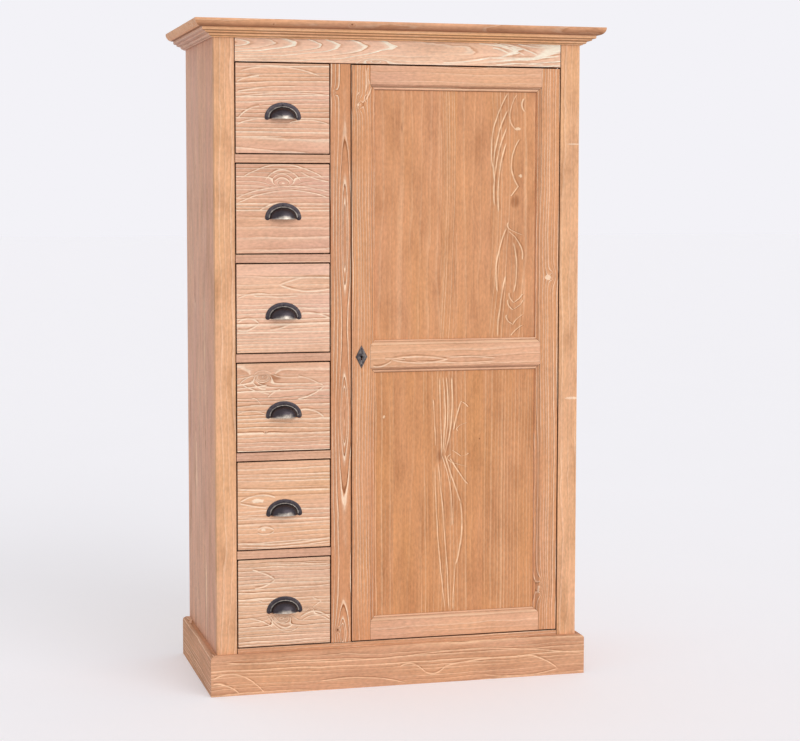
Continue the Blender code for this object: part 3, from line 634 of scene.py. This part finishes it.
def pull_mesh():
    """A cup pull of cast iron: flange, bead, hollow shell and three pins."""
    flange = bmesh.new()
    for wide, high in (pull_outer, pull_inner):
        rim = upright_circle(flange, 96, 1)
        bmesh.ops.scale(flange, vec=(wide, 1, high), verts=rim)
    bmesh.ops.bridge_loops(flange, edges=flange.edges)
    cut_away(flange, list(flange.verts), (0, 0, -1))
    for side in (-1, 1):
        foot = upright_circle(flange, 32, pull_foot, filled=True)
        move(flange, foot, (side * (pull_outer[0] - pull_foot), 0, 0))
        cut_away(flange, foot, (0, 0, 1))
    bmesh.ops.remove_doubles(flange, verts=flange.verts, dist=weld)
    move(flange, flange.verts, (0, pull_back, 0))
    made = bmesh.ops.extrude_face_region(flange, geom=flange.faces)
    move(flange, verts_of(made), (0, -pull_flange, 0))
    bmesh.ops.recalc_face_normals(flange, faces=flange.faces)
    rubbed = flange.verts.layers.float.new("rubbed")
    front = on_plane(1, pull_back - pull_flange)
    edges = [e for e in flange.edges
             if front(e) and len(e.link_faces) == 2 and e.calc_face_angle() > square_angle]
    bevel(flange, edges, pull_edge, 3)
    # The flange's upper rim gets a painted highlight, the rest a little wear
    for vert in flange.verts:
        reach = (vert.co.x / pull_outer[0]) ** 2 + (vert.co.z / pull_outer[1]) ** 2
        vert[rubbed] = rim_highlight if reach > 0.985 and vert.co.z > 0 else flange_rub

    # The bead where the shell leaves the flange
    bead_size = [size + pull_wall / 2 + 0.7 * pull_bead for size in pull_inner]
    bead = bmesh.ops.create_circle(flange, segments=12, radius=pull_bead)["verts"]
    move(flange, bead, (bead_size[1], 0, 0))
    bmesh.ops.spin(
        flange, geom=bead + list({e for v in bead for e in v.link_edges}), cent=(0, 0, 0),
        axis=(0, -1, 0), angle=pi, steps=48)
    bead = [v for v in flange.verts if v[rubbed] == 0.0]
    bmesh.ops.scale(flange, vec=(bead_size[0] / bead_size[1], 1, 1), verts=bead)
    move(flange, bead, (0, pull_back - pull_flange, 0))
    for vert in bead:
        vert[rubbed] = bead_rub

    # The shell, hollow and open underneath
    shell = bmesh.new()
    bmesh.ops.create_uvsphere(shell, u_segments=64, v_segments=32, radius=1)
    cut_away(shell, list(shell.verts), (0, 0, -1))
    cut_away(shell, list(shell.verts), (0, 1, 0))
    size = (pull_inner[0] + pull_wall / 2, pull_projection, pull_inner[1] + pull_wall / 2)
    bmesh.ops.scale(shell, vec=size, verts=shell.verts)
    lip = [e for e in shell.edges
           if len(e.link_faces) == 1 and all(abs(v.co.z) < weld for v in e.verts)]
    skirt = bmesh.ops.extrude_edge_only(shell, edges=lip)
    move(shell, verts_of(skirt), (0, 0, -pull_lip))
    bmesh.ops.remove_doubles(shell, verts=shell.verts, dist=weld)
    bmesh.ops.recalc_face_normals(shell, faces=shell.faces)
    bmesh.ops.solidify(shell, geom=shell.faces, thickness=pull_wall)
    move(shell, shell.verts, (0, pull_back, 0))
    rubbed = shell.verts.layers.float.new("rubbed")
    # Painted highlight along the lip, and painted highlight with finger wear on the shell's lower
    # middle
    for vert in shell.verts:
        middle = max(0.0, 1 - (vert.co.x / pull_wear_and_highlight_wide) ** 2)
        low = max(0.0, 1 - abs(vert.co.z + pull_lip / 2) / pull_wear_and_highlight_high)
        out = max(0.0, min(1.0, -vert.co.y / pull_projection))
        at_lip = vert.co.z < -0.9 * pull_lip
        vert[rubbed] = shell_wear_and_highlight * out if at_lip else shell_wear_and_highlight * middle * low * out
    mesh = mesh_of(shell, "shell")
    flange.from_mesh(mesh)
    bpy.data.meshes.remove(mesh)

    pins = len(flange.verts)
    pin_x, pin_z = pull_outer[0] - pull_foot, (pull_outer[1] + pull_inner[1]) / 2
    for x, z in ((0, pin_z), (-pin_x, 0), (pin_x, 0)):
        pin_head(flange, (x, pull_back - pull_flange, z), pull_pin, pull_pin_height)
    flange.verts.ensure_lookup_table()
    rubbed = flange.verts.layers.float["rubbed"]
    for vert in flange.verts[pins:]:
        vert[rubbed] = pin_rub
    return flange


iron = old_iron()
steel = bright_steel()
inner_x, inner_y, inner_z = (raw_pine(f"raw pine {label}", k) for k, label in enumerate("xyz"))
board_width = 0.094
back_wood = raw_pine("raw pine, back boards", 2, board_width)

# Face frame
for side, outer, spots, seed in (("left", -1, [], 31.0),
                                 ("right", 1, [(12, -118, 20, 4.5), (12, 627, 22, 2)], 47.0)):
    node = f"frame_stile_{side}"
    wood = pine(
        f"{side} stile", 2, 1, middle_of(node),
        [Stave(heart=0.11, depth=0.012, lean=0.002, ring=0.02)], lines=0.35, spots=spots,
        soft=paint(233, 180, 138), mottle=0.13, seed=seed)
    redo(node, wood, "carcass", 2, dark_arris, rub=frame_edge, outer=outer)

wood = pine(
    "mullion", 2, 1, middle_of("frame_mullion"), [Stave(heart=0.012, depth=0.020, ring=-0.009)],
    wave=0.8, lines=1.8, soft=paint(215, 155, 115), hard=paint(255, 222, 192), seed=3.0,
    eyes=[
        (12, 330, 20, 220, 3.2), (10, -168, 18, 150, 3.4), (4, -800, 20, 70, 3.5),
        (-14, 747, 6, 12, 2.0)],
    knots=[(-10, -790, 4.5)])
redo("frame_mullion", wood, "carcass", 2, dark_arris)

wood = pine(
    "top rail", 0, 1, middle_of("frame_rail_top"),
    [Stave(heart=0.006, depth=0.055, lean=0.095, ring=0.0065)], wave=1.3, lines=1.3,
    soft=paint(244, 202, 172), hard=paint(255, 242, 220), deep=paint(206, 152, 116), mottle=0.08,
    seed=11.0, eyes=[(-38, -77, 14, 50, 3.0)], flat_from=0.0,
    ridges=[
        (7, 271, 0, 304, -14, 332, bold), (18, 230, 11, 298, -12, 369, bold),
        (18, 291, 10, 348, -12, 410, bold), (-38, 123, -32, 203, -21, 264, bold),
        (-21, 264, -21, 366, -13, 475, bold), (-41, 281, -37, 332, -39, 427, thin),
        (20, 348, 12, 400, 16, 475, thin)])
redo("frame_rail_top", wood, "carcass", 0, dark_arris, rub=widest_gap,
     end_width=worn_arris)

wood = pine(
    "bottom rail", 0, 1, middle_of("frame_rail_bottom"),
    [Stave(heart=0.09, depth=0.02, lean=0.01, ring=0.008)], wave=0.9, seed=15.0)
redo("frame_rail_bottom", wood, "carcass", 0, dark_arris, rub=-0.2)

drawer_rail_middle = [-0.343, face_y, 0.9]
wood = pine(
    "drawer rails", 0, 1, drawer_rail_middle,
    [Stave(heart=0.3, depth=0.03, lean=0.01, ring=0.009)], wave=1.2, seed=19.0,
    soft=paint(221, 173, 144), lines=0.5)
for k in range(1, 6):
    redo(f"drawer_divider_{k}", wood, "carcass", 0, dark_arris, rub=frame_edge)

# Drawer fronts
drawer_hard, drawer_deep = paint(255, 227, 200), paint(174, 116, 80)
drawer_figures = {
    1: dict(
        staves=[
            Stave(heart=-0.3, depth=0.05, lean=0.03, ring=0.03, lines=0.5),
            Stave(-0.079, heart=-0.25, depth=0.02, lean=0.05, ring=0.013),
            Stave(0.006, heart=-0.15, depth=0.03, lean=-0.15, ring=0.013)],
        wave=0.7, lines=1.25,
        ridges=[
            (73, -130, 83, -106, 90, -66, bold), (45, -130, 56, -66, 61, 37, thin),
            (-30, -130, -9, -106, 6, -66, bold), (-45, -130, -32, -89, -29, -49, thin),
            (103, -120, 115, -9, 92, 106, thin), (-39, 19, -32, 77, -44, 132, thin),
            (31, -129, 41, -38, 39, 123, thin)],
        soft=paint(236, 187, 156)),
    2: dict(
        staves=[
            Stave(heart=-0.3, ring=0.03, lines=0.4, tone=1.02),
            Stave(-0.0095, heart=-0.25, depth=0.02, lean=0.02, ring=0.012)],
        swirls=[(70, 1, 16, 40, 2.6)],
        ridges=[
            (80, -50, 110, -1, 79, 51, bold), (78, -35, 97, -1, 78, 31, thin),
            (77, -24, 86, -1, 77, 19, thin), (87, -118, 123, -3, 86, 117, thin),
            (-7, -70, 16, -7, -5, 51, bold), (103, 51, 90, 77, 77, 132, thin),
            (15, -131, 46, -38, 29, 132, thin), (31, -131, 58, -38, 46, 132, thin)],
        wave=0.5, lines=1.25, soft=paint(229, 180, 151)),
    3: dict(
        staves=[
            Stave(heart=-0.16, depth=0.02, ring=0.0085),
            Stave(-0.0655, heart=-0.2, depth=0.04, lean=0.04, ring=0.014),
            Stave(0.094, heart=0.12, depth=0.05, ring=0.03, lines=0.4, tone=1.03)],
        ridges=[
            (66, -11, 78, 25, 84, 135, bold), (65, -11, 50, 42, 53, 135, bold),
            (29, -130, 41, -84, 36, -33, thin), (35, -85, 32, -39, 34, 42, thin),
            (-14, 53, -17, 94, -31, 135, bold), (-39, -130, -28, -102, -41, -70, bold),
            (-60, -130, -59, -93, -43, -70, bold), (-61, -39, -57, -10, -42, 27, bold)],
        wave=0.7, lines=1.25, soft=paint(240, 194, 165)),
    4: dict(
        staves=[
            Stave(heart=-0.2, depth=0.04, lean=0.03, ring=0.012),
            Stave(0.094, heart=0.15, depth=0.05, ring=0.03, lines=0.4)],
        swirls=[(88, -60, 14, 24, -5.0)],
        ridges=[
            (88, 42, 75, 82, 58, 117, thin), (22, 41, 40, 94, 56, 117, bold),
            (69, -125, 88, -96, 91, -73, thin), (69, -125, 49, -85, 37, -39, thin),
            (29, -45, 40, -31, 49, -10, bold), (26, -91, 20, -74, 7, -65, thin),
            (-10, 47, -19, 99, -30, 116, bold), (-17, -131, -9, -91, -22, -51, thin),
            (77, -93, 59, -76, 53, -51, bold), (83, -85, 68, -71, 63, -48, thin)],
        blots=[(85, -25, 12, 20)], knots=[(-71, -52, 1.5)], wave=1.1, lines=1.6875,
        soft=paint(231, 183, 151)),
    5: dict(
        staves=[Stave(heart=-0.20, depth=0.02, ring=0.013)],
        ridges=[
            (12, -127, 28, -86, 22, -25, bold), (7, -127, -1, -91, -7, -51, bold),
            (48, -131, 42, -5, 42, 134, bold), (-32, -131, -38, -5, -41, 134, thin),
            (-70, -77, -62, -54, -72, -29, bold), (-78, -77, -84, -54, -75, -29, thin),
            (-107, -131, -112, -5, -99, 134, bold), (-116, -131, -120, -5, -110, 134, thin),
            (-13, 47, -15, 93, -16, 134, thin)],
        spots=[(-69, -60, 4, 8), (14, -75, 6, 20)], wave=0.8, lines=0.875,
        soft=paint(236, 187, 151)),
    6: dict(
        staves=[Stave(heart=-0.3, ring=0.0085), Stave(-0.077, heart=-0.25, depth=0.03, ring=0.012)],
        swirls=[(-47, -8, 14, 28, -5.0), (-25, 62, 12, 26, -4.0)],
        ridges=[
            (96, -92, 83, -57, 67, -27, bold), (43, -86, 50, -52, 65, -27, bold),
            (39, -132, 41, -5, 43, 134, thin), (9, -132, 11, -97, 3, -63, thin),
            (-39, -41, -71, -11, -68, 23, bold), (-39, -31, -62, -8, -57, 18, thin),
            (-35, -52, -80, -11, -76, 41, thin), (113, -46, 108, 41, 106, 128, thin),
            (-47, 47, -32, 82, -53, 133, bold), (-56, 52, -43, 87, -62, 133, thin),
            (8, 82, 2, 96, -4, 108, thin), (-20, 84, -11, 96, -5, 108, thin),
            (-47, -132, -48, -80, -71, -34, thin)],
        wave=1.2, lines=1.8125, soft=paint(231, 188, 156)),
}
for k, figure in drawer_figures.items():
    node = f"drawer_{k}_front"
    wood = pine(
        f"drawer {k}", 0, 1, middle_of(node), seed=60.0 + 7 * k, hard=drawer_hard, deep=drawer_deep,
        **figure)
    redo(node, wood, f"drawer_{k}", 0, drawer_arris, rub=drawer_edge)

    low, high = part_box(f"drawer_{k}_pull")
    bm = pull_mesh()
    move(bm, bm.verts, ((low.x + high.x) / 2, face_y, low.z + pull_foot))
    take(bm, f"drawer_{k}_cup", iron, f"drawer_{k}", soft_angle, [f"drawer_{k}_pull"])

# Door
door_x, door_rail_z = 0.16, 0.956
door_wood = pine(
    "door stiles", 2, 1, [door_x, face_y, keyhole_z],
    [Stave(heart=-0.5, lean=0.01, ring=0.0085), Stave(0.0, heart=0.5, ring=0.0085)],
    ridges=[
        (-291, 739, -287, 745, -283, 751, thin), (-285, 704, -288, 711, -281, 723, thin),
        (-265, 727, -256, 743, -247, 765, bold), (-264, 820, -261, 783, -265, 750, thin),
        (-257, 820, -256, 787, -251, 772, thin), (-261, 745, -267, 737, -264, 723, thin)],
    spots=[(-286, 715, 4, 5), (285, 222, 10, 9), (262, -700, 3, 12)], lines=1.25,
    soft=paint(223, 162, 118), seed=5.0,
    eyes=[(-279.4, 715.8, 10, 20, 3.0), (296.9, 226, 12, 20, 3.0), (267.3, -694.5, 12, 30, 3.0)])
rail_wood = pine(
    "door rails", 0, 1, [door_x, face_y, door_rail_z],
    [Stave(heart=0.3, depth=0.03, lean=0.01, ring=0.02)], wave=0.8, lines=0.45,
    ridges=[
        (-6.9, -186, -3.7, -106, -13.1, -21, bold), (-11.5, -186, -21.2, -82, -13.6, -21, bold),
        (-8, -207, -8, -177, -10.6, -147, thin), (-28.8, -242, -26.4, -207, -16, -188, bold),
        (-7.1, -15, -6.5, 33, -11.1, 124, thin), (-15.8, -117, -22.2, 3, -20.8, 124, thin)],
    soft=paint(232, 180, 144), seed=8.0)
for node, sides in (("door_stile_lock", -0.3), ("door_stile_hinge", steep_side)):
    redo(node, door_wood, "door", 2, fine_arris, soft_angle, rub=-0.2, sides=sides)
for node, sides in (("door_rail_top", steep_gap), ("door_rail_middle", steep_side),
                    ("door_rail_bottom", steep_side)):
    redo(node, rail_wood, "door", 0, fine_arris, soft_angle, ends=-0.4, sides=sides)

panel_hard = paint(255, 216, 178)
upper = pine(
    "upper panel", 2, 1, middle_of("door_panel_upper"),
    [
        Stave(heart=-0.5, ring=0.03, lines=0.15),
        Stave(-0.045, heart=-0.5, lean=-0.25, ring=0.009, lines=0.75, tone=0.985),
        Stave(0.004, heart=-0.5, ring=0.03, lines=0.2),
        Stave(0.104, heart=-0.5, lean=-0.4, ring=0.012, lines=0.5, tone=0.965),
        Stave(0.206, heart=-0.5, ring=0.03, lines=0.25)],
    ridges=[
        (155, 352, 124, 286, 111, 139, bold), (184, 349, 166, 313, 164, 278, thin),
        (164, 278, 170, 260, 181, 247, bold), (204, 338, 199, 320, 206, 300, bold),
        (151, 209, 135, 146, 129, 10, bold), (192, 220, 168, 155, 190, 82, bold),
        (189, 85, 180, 72, 167, 56, bold), (160, -20, 173, -45, 205, -57, bold),
        (162, -46, 188, -73, 203, -129, bold), (175, -79, 185, -137, 177, -224, bold),
        (153, -174, 139, -241, 129, -352, bold), (163, -225, 168, -244, 177, -254, bold),
        (177, -254, 191, -244, 204, -229, bold), (159, -245, 165, -266, 174, -275, bold),
        (174, -275, 189, -266, 205, -246, thin), (153, -38, 133, -94, 127, -222, bold),
        (155, -289, 163, -310, 175, -318, bold), (175, -318, 189, -300, 205, -289, bold),
        (169, -350, 181, -336, 205, -320, bold), (155, 303, 129, 238, 115, 102, bold),
        (153, 255, 129, 183, 117, 28, bold)],
    spots=[(188, 250, 8, 5), (196, 114, 6, 5)], blots=[(180, 41, 16, 22), (-161, 250.5, 2.8, 18)],
    wave=0.7, soft=paint(218, 158, 115), hard=panel_hard, mottle=0.10, seed=2.0)
lower = pine(
    "lower panel", 2, 1, middle_of("door_panel_lower"),
    [
        Stave(heart=-0.5, ring=0.012, lines=0.45), Stave(-0.185, heart=-0.5, ring=0.03, lines=0.10),
        Stave(-0.10, heart=-0.5, ring=0.012, lines=0.45, tone=0.99),
        Stave(0.0394, heart=-0.5, ring=0.03, lines=0.10),
        Stave(0.085, heart=-0.5, ring=0.010, lines=0.45, tone=0.98)],
    ridges=[
        (-47, 335, -43, 206, -40, 108, thin), (-36, 335, -30, 218, -37, 118, bold),
        (-26, 335, -22, 218, -33, 115, bold), (-11, 335, -11, 211, -30, 111, bold),
        (-67, 271, -60, 187, -58, 135, thin), (-30, 108, -18, 69, 18, -31, bold),
        (18, -31, 22, -83, 3, -219, bold), (3, -219, -2, -277, -4, -349, thin),
        (-40, 108, -16, 23, -8, -101, thin), (-51, 89, -36, -54, -16, -348, thin),
        (-60, 77, -54, -86, -28, -348, thin), (-4, 180, 5, 223, 19, 264, bold),
        (18, 264, 28, 258, 39, 247, bold), (9, 177, 17, 194, 37, 201, thin),
        (-8, 121, 4, 113, 18, 103, bold), (18, 103, 29, 105, 39, 112, bold),
        (-11, 110, 11, 79, 39, 72, bold), (-13, 98, 18, 47, 39, 20, bold)],
    knots=[(74.8, 152.4, 3)], spots=[(-213, 225, 3, 5)],
    blots=[(-45, 105, 12, 20), (-2, 190, 8, 14)], wave=0.6, soft=paint(214, 153, 107),
    hard=panel_hard, mottle=0.09, seed=9.0)
for node, wood in (("door_panel_upper", upper), ("door_panel_lower", lower)):
    redo(node, wood, "door", 2)

# Case, top and plinth
side_staves = [
    Stave(heart=-0.5, ring=0.012, lines=0.6),
    Stave(-0.13, heart=-0.08, depth=0.03, lean=-0.01, ring=0.009, lines=0.85),
    Stave(0.02, heart=0.09, depth=0.05, lean=0.01, ring=0.010, lines=0.7),
    Stave(0.15, heart=0.2, depth=0.03, lean=0.01, ring=0.012, lines=0.6)]
side_y, side_z, trim_z = 0.04, 0.95, 1.87
side_woods = [
    pine(f"{side} side", 2, 0, [x, side_y, side_z], side_staves, mottle=0.09,
         soft=paint(229, 179, 153), seed=seed)
    for side, x, seed in (("left", case_left, 71.0), ("right", case_right, 89.0))]
trim_front, trim_side = [0.0, face_y, trim_z], [case_left, 0.0, trim_z]
trim_staves = [Stave(heart=0.1, depth=0.05, lean=0.02, ring=0.010)]
trim_wood = pine(
    "trim", 0, 1, trim_front, trim_staves, wave=1.6, lines=0.45,
    knots=[(16, -379, 2.2), (20, -157, 3.5)], soft=paint(236, 178, 136), mottle=0.09, seed=75.0)
# Both crowns are painted lighter than the trim: painted light against the shade under the top board
crown_wood = pine(
    "crown", 0, 1, trim_front, trim_staves, wave=1.2, lines=0.35, soft=paint(255, 200, 150),
    seed=77.0)
trim_side_wood = pine(
    "side trim", 1, 0, trim_side, trim_staves, wave=1.2, lines=0.8, soft=paint(212, 160, 126),
    mottle=0.1, seed=79.0)
crown_side_wood = pine(
    "side crown", 1, 0, trim_side, trim_staves, wave=1.2, lines=0.35, soft=paint(232, 190, 166),
    seed=81.0)
plinth_out, plinth_z = 0.0215, 0.058
plinth_wood = pine(
    "plinth", 0, 1, [0.0, face_y - plinth_out, plinth_z],
    [Stave(heart=-0.3, depth=0.03, ring=0.014)], wave=0.9, lines=0.9,
    ridges=[
        (-22, -553, -30, -510, -51, -480, bold), (-7, -553, -5, -465, -54, -406, bold),
        (-11, 130, 1, 216, 3, 356, bold), (3, 356, -7, 427, -39, 476, bold),
        (-45, 251, -53, 383, -41, 476, thin), (-4, -7, -9, 52, -26, 70, bold),
        (-26, 70, -30, 100, -11, 130, bold), (36, -514, 26, -301, 24, -7, thin),
        (24, -7, 33, 251, 1, 552, thin), (-32, -243, -28, -126, -52, 10, thin)],
    soft=paint(217, 165, 129), hard=paint(254, 210, 172), mottle=0.08, seed=83.0)

top_low, top_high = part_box("top_board")
bm = bmesh.new()
slab(bm, top_low, top_high)
under = on_plane(2, top_low.z)
behind = on_plane(1, top_high.y)
top_rounding, top_arris = 0.0195, 0.001
rounded = square_edges(bm, lambda edge: under(edge) and not behind(edge))
round_over(bm, rounded, top_rounding, segments=12, mark=0.0)
round_over(bm, square_edges(bm, on_plane(2, top_high.z)), top_arris)
layer = arris_layer(bm)
# The top's ends are a little paler, and what faces down gets painted shade
for face in bm.faces:
    if abs(face.normal.x) > 0.3 and face.normal.z < 0.5:
        face[layer] = 0.25
    elif face.normal.z < -0.1:
        face[layer] = 0.75 * face.normal.z
take(bm, "top_board_finished", trim_wood, "carcass", soft_angle, ["top_board"])

for node, wood in (("plinth_front", plinth_wood), ("plinth_left", trim_side_wood),
                   ("plinth_right", trim_side_wood)):
    take(solid(node), f"{node}_finished", wood, "carcass", soft_angle, [node])

# The moulding under the top: each corner is (out, up), and how far it is rounded
crown_corners = [
    (-0.002, 0.0, 0), (0.037, 0.0, 0), (0.037, -0.0085, 0.0022), (0.0275, -0.0105, 0),
    (0.0275, -0.0142, 0.0016), (0.0175, -0.0168, 0), (0.0155, -0.0168, 0),
    (0.0145, -0.0222, 0.0026), (0.0070, -0.0240, 0), (0.0062, -0.0260, 0), (-0.002, -0.0260, 0)]


def shade_undersides(bm, shade):
    """Mark painted shade on what faces down, and a little painted light on what doesn't."""
    layer = arris_layer(bm)
    for face in bm.faces:
        if face.normal.z < -0.5:
            face[layer] = shade * face.normal.z
        elif face.normal.z > -0.25 and face[layer] == 0:
            face[layer] = 0.2


def crown(name, wood, corner_a, corner_b, out, mitres, shade=0.75):
    """A length of moulding between two corners of the case, cut to its mitres."""
    run = Vector(corner_b) - Vector(corner_a)
    outline = [Vector(corner_a) + Vector(out) * x + Vector((0, 0, z)) for x, z, _ in crown_corners]
    bm = bmesh.new()
    face = bm.faces.new([bm.verts.new(spot) for spot in outline])
    made = bmesh.ops.extrude_face_region(bm, geom=[face])
    move(bm, verts_of(made), run)
    long_edges = [e for e in bm.edges if e.calc_length() > run.length / 2]
    for spot, (_, _, rounding) in zip(outline, crown_corners):
        if rounding:
            edges = [e for e in long_edges
                     if e.is_valid and any((v.co - spot).length < weld for v in e.verts)]
            bevel(bm, edges, rounding, 6)
    for x, normal in mitres:
        made = bmesh.ops.bisect_plane(
            bm, geom=list(bm.verts) + list(bm.edges) + list(bm.faces), dist=weld,
            plane_co=(x, face_y, case_top), plane_no=normal, clear_outer=True)
        rim = [item for item in made["geom_cut"] if isinstance(item, bmesh.types.BMEdge)]
        bmesh.ops.holes_fill(bm, edges=rim, sides=0)
    bmesh.ops.recalc_face_normals(bm, faces=bm.faces)
    shade_undersides(bm, shade)
    take(bm, f"{name}_finished", wood, "carcass", soft_angle, [name])


reach = 0.05
crown("cornice_moulding_front", crown_wood, (case_left - reach, face_y, case_top),
      (case_right + reach, face_y, case_top), (0, -1, 0),
      [(case_left, (-1, 1, 0)), (case_right, (1, 1, 0))])
for side, x, out in (("left", case_left, -1), ("right", case_right, 1)):
    crown(f"cornice_moulding_{side}", crown_side_wood, (x, case_back, case_top),
          (x, face_y - reach, case_top), (out, 0, 0), [(x, (-out, -1, 0))], shade=0.3)

# Lock plate
bm = solid("escutcheon")
plate_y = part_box("escutcheon")[0].y
rubbed = bm.verts.layers.float.new("rubbed")
bevel(bm, square_edges(bm, on_plane(1, plate_y)), fine_arris, 2)
for vert in bm.verts:
    vert[rubbed] = plate_rub
pin_up, plate_pin, plate_pin_height = 0.0235, 0.0022, 0.0011
for side in (-1, 1):
    pin_head(bm, (keyhole_x, plate_y, keyhole_z + side * pin_up), plate_pin, plate_pin_height)
take(bm, "keyhole_plate", iron, "door", soft_angle, ["escutcheon"])

# Case sides and inside
for side, wood, outer in zip(("left", "right"), side_woods, (-1, 1)):
    ease(f"side_panel_{side}", wood, "carcass", outer=outer)
for node in ("partition_panel", "door_stop_strip"):
    ease(node, inner_z, "carcass")
for node in ("bottom_board", "drawer_kicker_board", "shelf_1", "shelf_2", "shelf_3"):
    ease(node, inner_x, "carcass")


def boards(name, finish, body, blocks, width=inner_arris, segments=2, nodes=()):
    """Separate boards in a row or a frame, each with its own eased edges."""
    bm = bmesh.new()
    for low, high in blocks:
        slab(bm, low, high)
    round_over(bm, square_edges(bm, lambda edge: True), width, segments, mark=0.0)
    take(bm, name, finish, body, soft_angle, nodes)


# Back: grooved boards, nailed along the top, the middle and the bottom
back_groove = 0.0025
nail_in, nail_up, nail_down, nail_radius, nail_height = 0.022, 0.020, 0.012, 0.0028, 0.0003
low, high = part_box("back_panel")
count = round((high.x - low.x) / board_width)
edges = [low.x + (high.x - low.x) * k / count for k in range(count + 1)]
boards("back_boards", back_wood, "carcass",
       [((a, low.y, low.z), (b, high.y, high.z)) for a, b in zip(edges, edges[1:])],
       width=back_groove, segments=1, nodes=["back_panel"])
bm = bmesh.new()
for a, b in zip(edges, edges[1:]):
    for x in (a + nail_in, b - nail_in):
        for z in (low.z + nail_up, (low.z + high.z) / 2, high.z - nail_down):
            pin_head(bm, (x, high.y - nail_height, z), nail_radius, nail_height)
take(bm, "back_nails", steel, "carcass", soft_angle)

# Drawer boxes: sides, back and bottom
side_thick, bottom_up, bottom_thick, bottom_arris = 0.012, 0.010, 0.006, 0.0003
back_drop, back_in = 0.012, 0.001
for k in range(1, 7):
    low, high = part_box(f"drawer_{k}_box")
    left_in, right_in, back_y = low.x + side_thick, high.x - side_thick, high.y - back_in
    bottom_low, bottom_high = low.z + bottom_up, low.z + bottom_up + bottom_thick
    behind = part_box(f"drawer_{k}_front")[1].y
    boards(f"drawer_{k}_sides", inner_y, f"drawer_{k}",
           [((low.x, behind, low.z), (left_in, high.y, high.z)),
            ((right_in, behind, low.z), (high.x, high.y, high.z))], nodes=[f"drawer_{k}_box"])
    boards(f"drawer_{k}_back", inner_x, f"drawer_{k}",
           [((left_in, high.y - side_thick, bottom_high), (right_in, back_y, high.z - back_drop))])
    boards(f"drawer_{k}_bottom", inner_x, f"drawer_{k}",
           [((left_in, behind, bottom_low), (right_in, back_y, bottom_high))],
           width=bottom_arris)

# Lock and pivots
lock_arris, plate_arris = 0.0004, 0.0002
ease("lock_case", iron, "door", lock_arris)
ease("lock_bolt", steel, "bolt", lock_arris)
ease("strike_plate", steel, "carcass", plate_arris)
for level in ("top", "bottom"):
    ease(f"door_pivot_{level}", steel, "door", plate_arris)
    ease(f"pivot_plate_{level}", steel, "carcass", plate_arris)
screw_in, screw_radius, screw_height = 0.005, 0.0024, 0.0008
low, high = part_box("lock_case")
bm = bmesh.new()
for x in (low.x + screw_in, high.x - screw_in):
    for z in (low.z + screw_in, high.z - screw_in):
        pin_head(bm, (x, high.y, z), screw_radius, screw_height)
take(bm, "lock_screws", steel, "door", soft_angle)


# Floor, light and camera
def seen_directly(recipe):
    """1 for what the camera sees, itself or mirrored in metal."""
    kind = "ShaderNodeLightPath"
    by_camera = recipe.node(kind, {}, {}, output="Is Camera Ray")
    mirrored = recipe.node(kind, {}, {}, output="Is Glossy Ray")
    return by_camera.larger(mirrored)


floor_half, floor_glow, room_light = 60, [0.21, 0.207, 0.218], 0.62
pale_floor = Finish("pale floor", Roughness=0.9)
floor_tint = cloud(pale_floor, pale_floor.place(), 1.5, 1.5, 0.0, 2.0) * 0.01 + 1.0
pale_floor.set(
    Base_Color=pale_floor.scaled(paint(240, 239, 243), floor_tint), Emission_Strength=1.0,
    Emission_Color=pale_floor.scaled(floor_glow, seen_directly(pale_floor)))
bm = bmesh.new()
bmesh.ops.create_grid(bm, x_segments=8, y_segments=8, size=floor_half)
floor = put("floor", mesh_of(bm, "floor"))
floor.data.materials.append(pale_floor.material)

world = bpy.data.worlds.new("studio")
bpy.context.scene.world = world
world.use_nodes = True
studio = Recipe(world.node_tree)
white, pale = (
    studio.node("ShaderNodeBackground", {}, {"Color": colour, "Strength": strength})
    for colour, strength in ((paint(255, 255, 255), room_light), (paint(243, 242, 247), 1.0)))
shown = studio.node("ShaderNodeMixShader", {}, {0: seen_directly(studio), 1: white, 2: pale})
studio.feed(studio.tree.nodes["World Output"].inputs["Surface"], shown)

sun_data = bpy.data.lights.new("soft key", "SUN")
sun_data.energy = 1.2
sun_data.angle = radians(50)
sun = put("soft key", sun_data)
sun.rotation_mode = "QUATERNION"
sun_side = Vector((0.42, -0.85, 0.34))
sun.rotation_quaternion = sun_side.to_track_quat("Z", "Y")

camera_place = (-1.401, -5.4983, 1.4157)
camera_yaw, camera_pitch, camera_roll = radians(14.8661), radians(4.5345), radians(0.0808)
camera_data = bpy.data.cameras.new("camera")
camera_data.sensor_width = 36
camera_data.lens = 85.671
camera_data.shift_y = -0.03
camera = put("camera", camera_data)
camera.matrix_world = (
    Matrix.Translation(camera_place)
    @ Matrix.Rotation(-camera_yaw, 4, "Z")
    @ Matrix.Rotation(pi / 2 - camera_pitch, 4, "X")
    @ Matrix.Rotation(camera_roll, 4, "Z"))
bpy.context.scene.camera = camera
bpy.context.scene.view_settings.view_transform = "Standard"
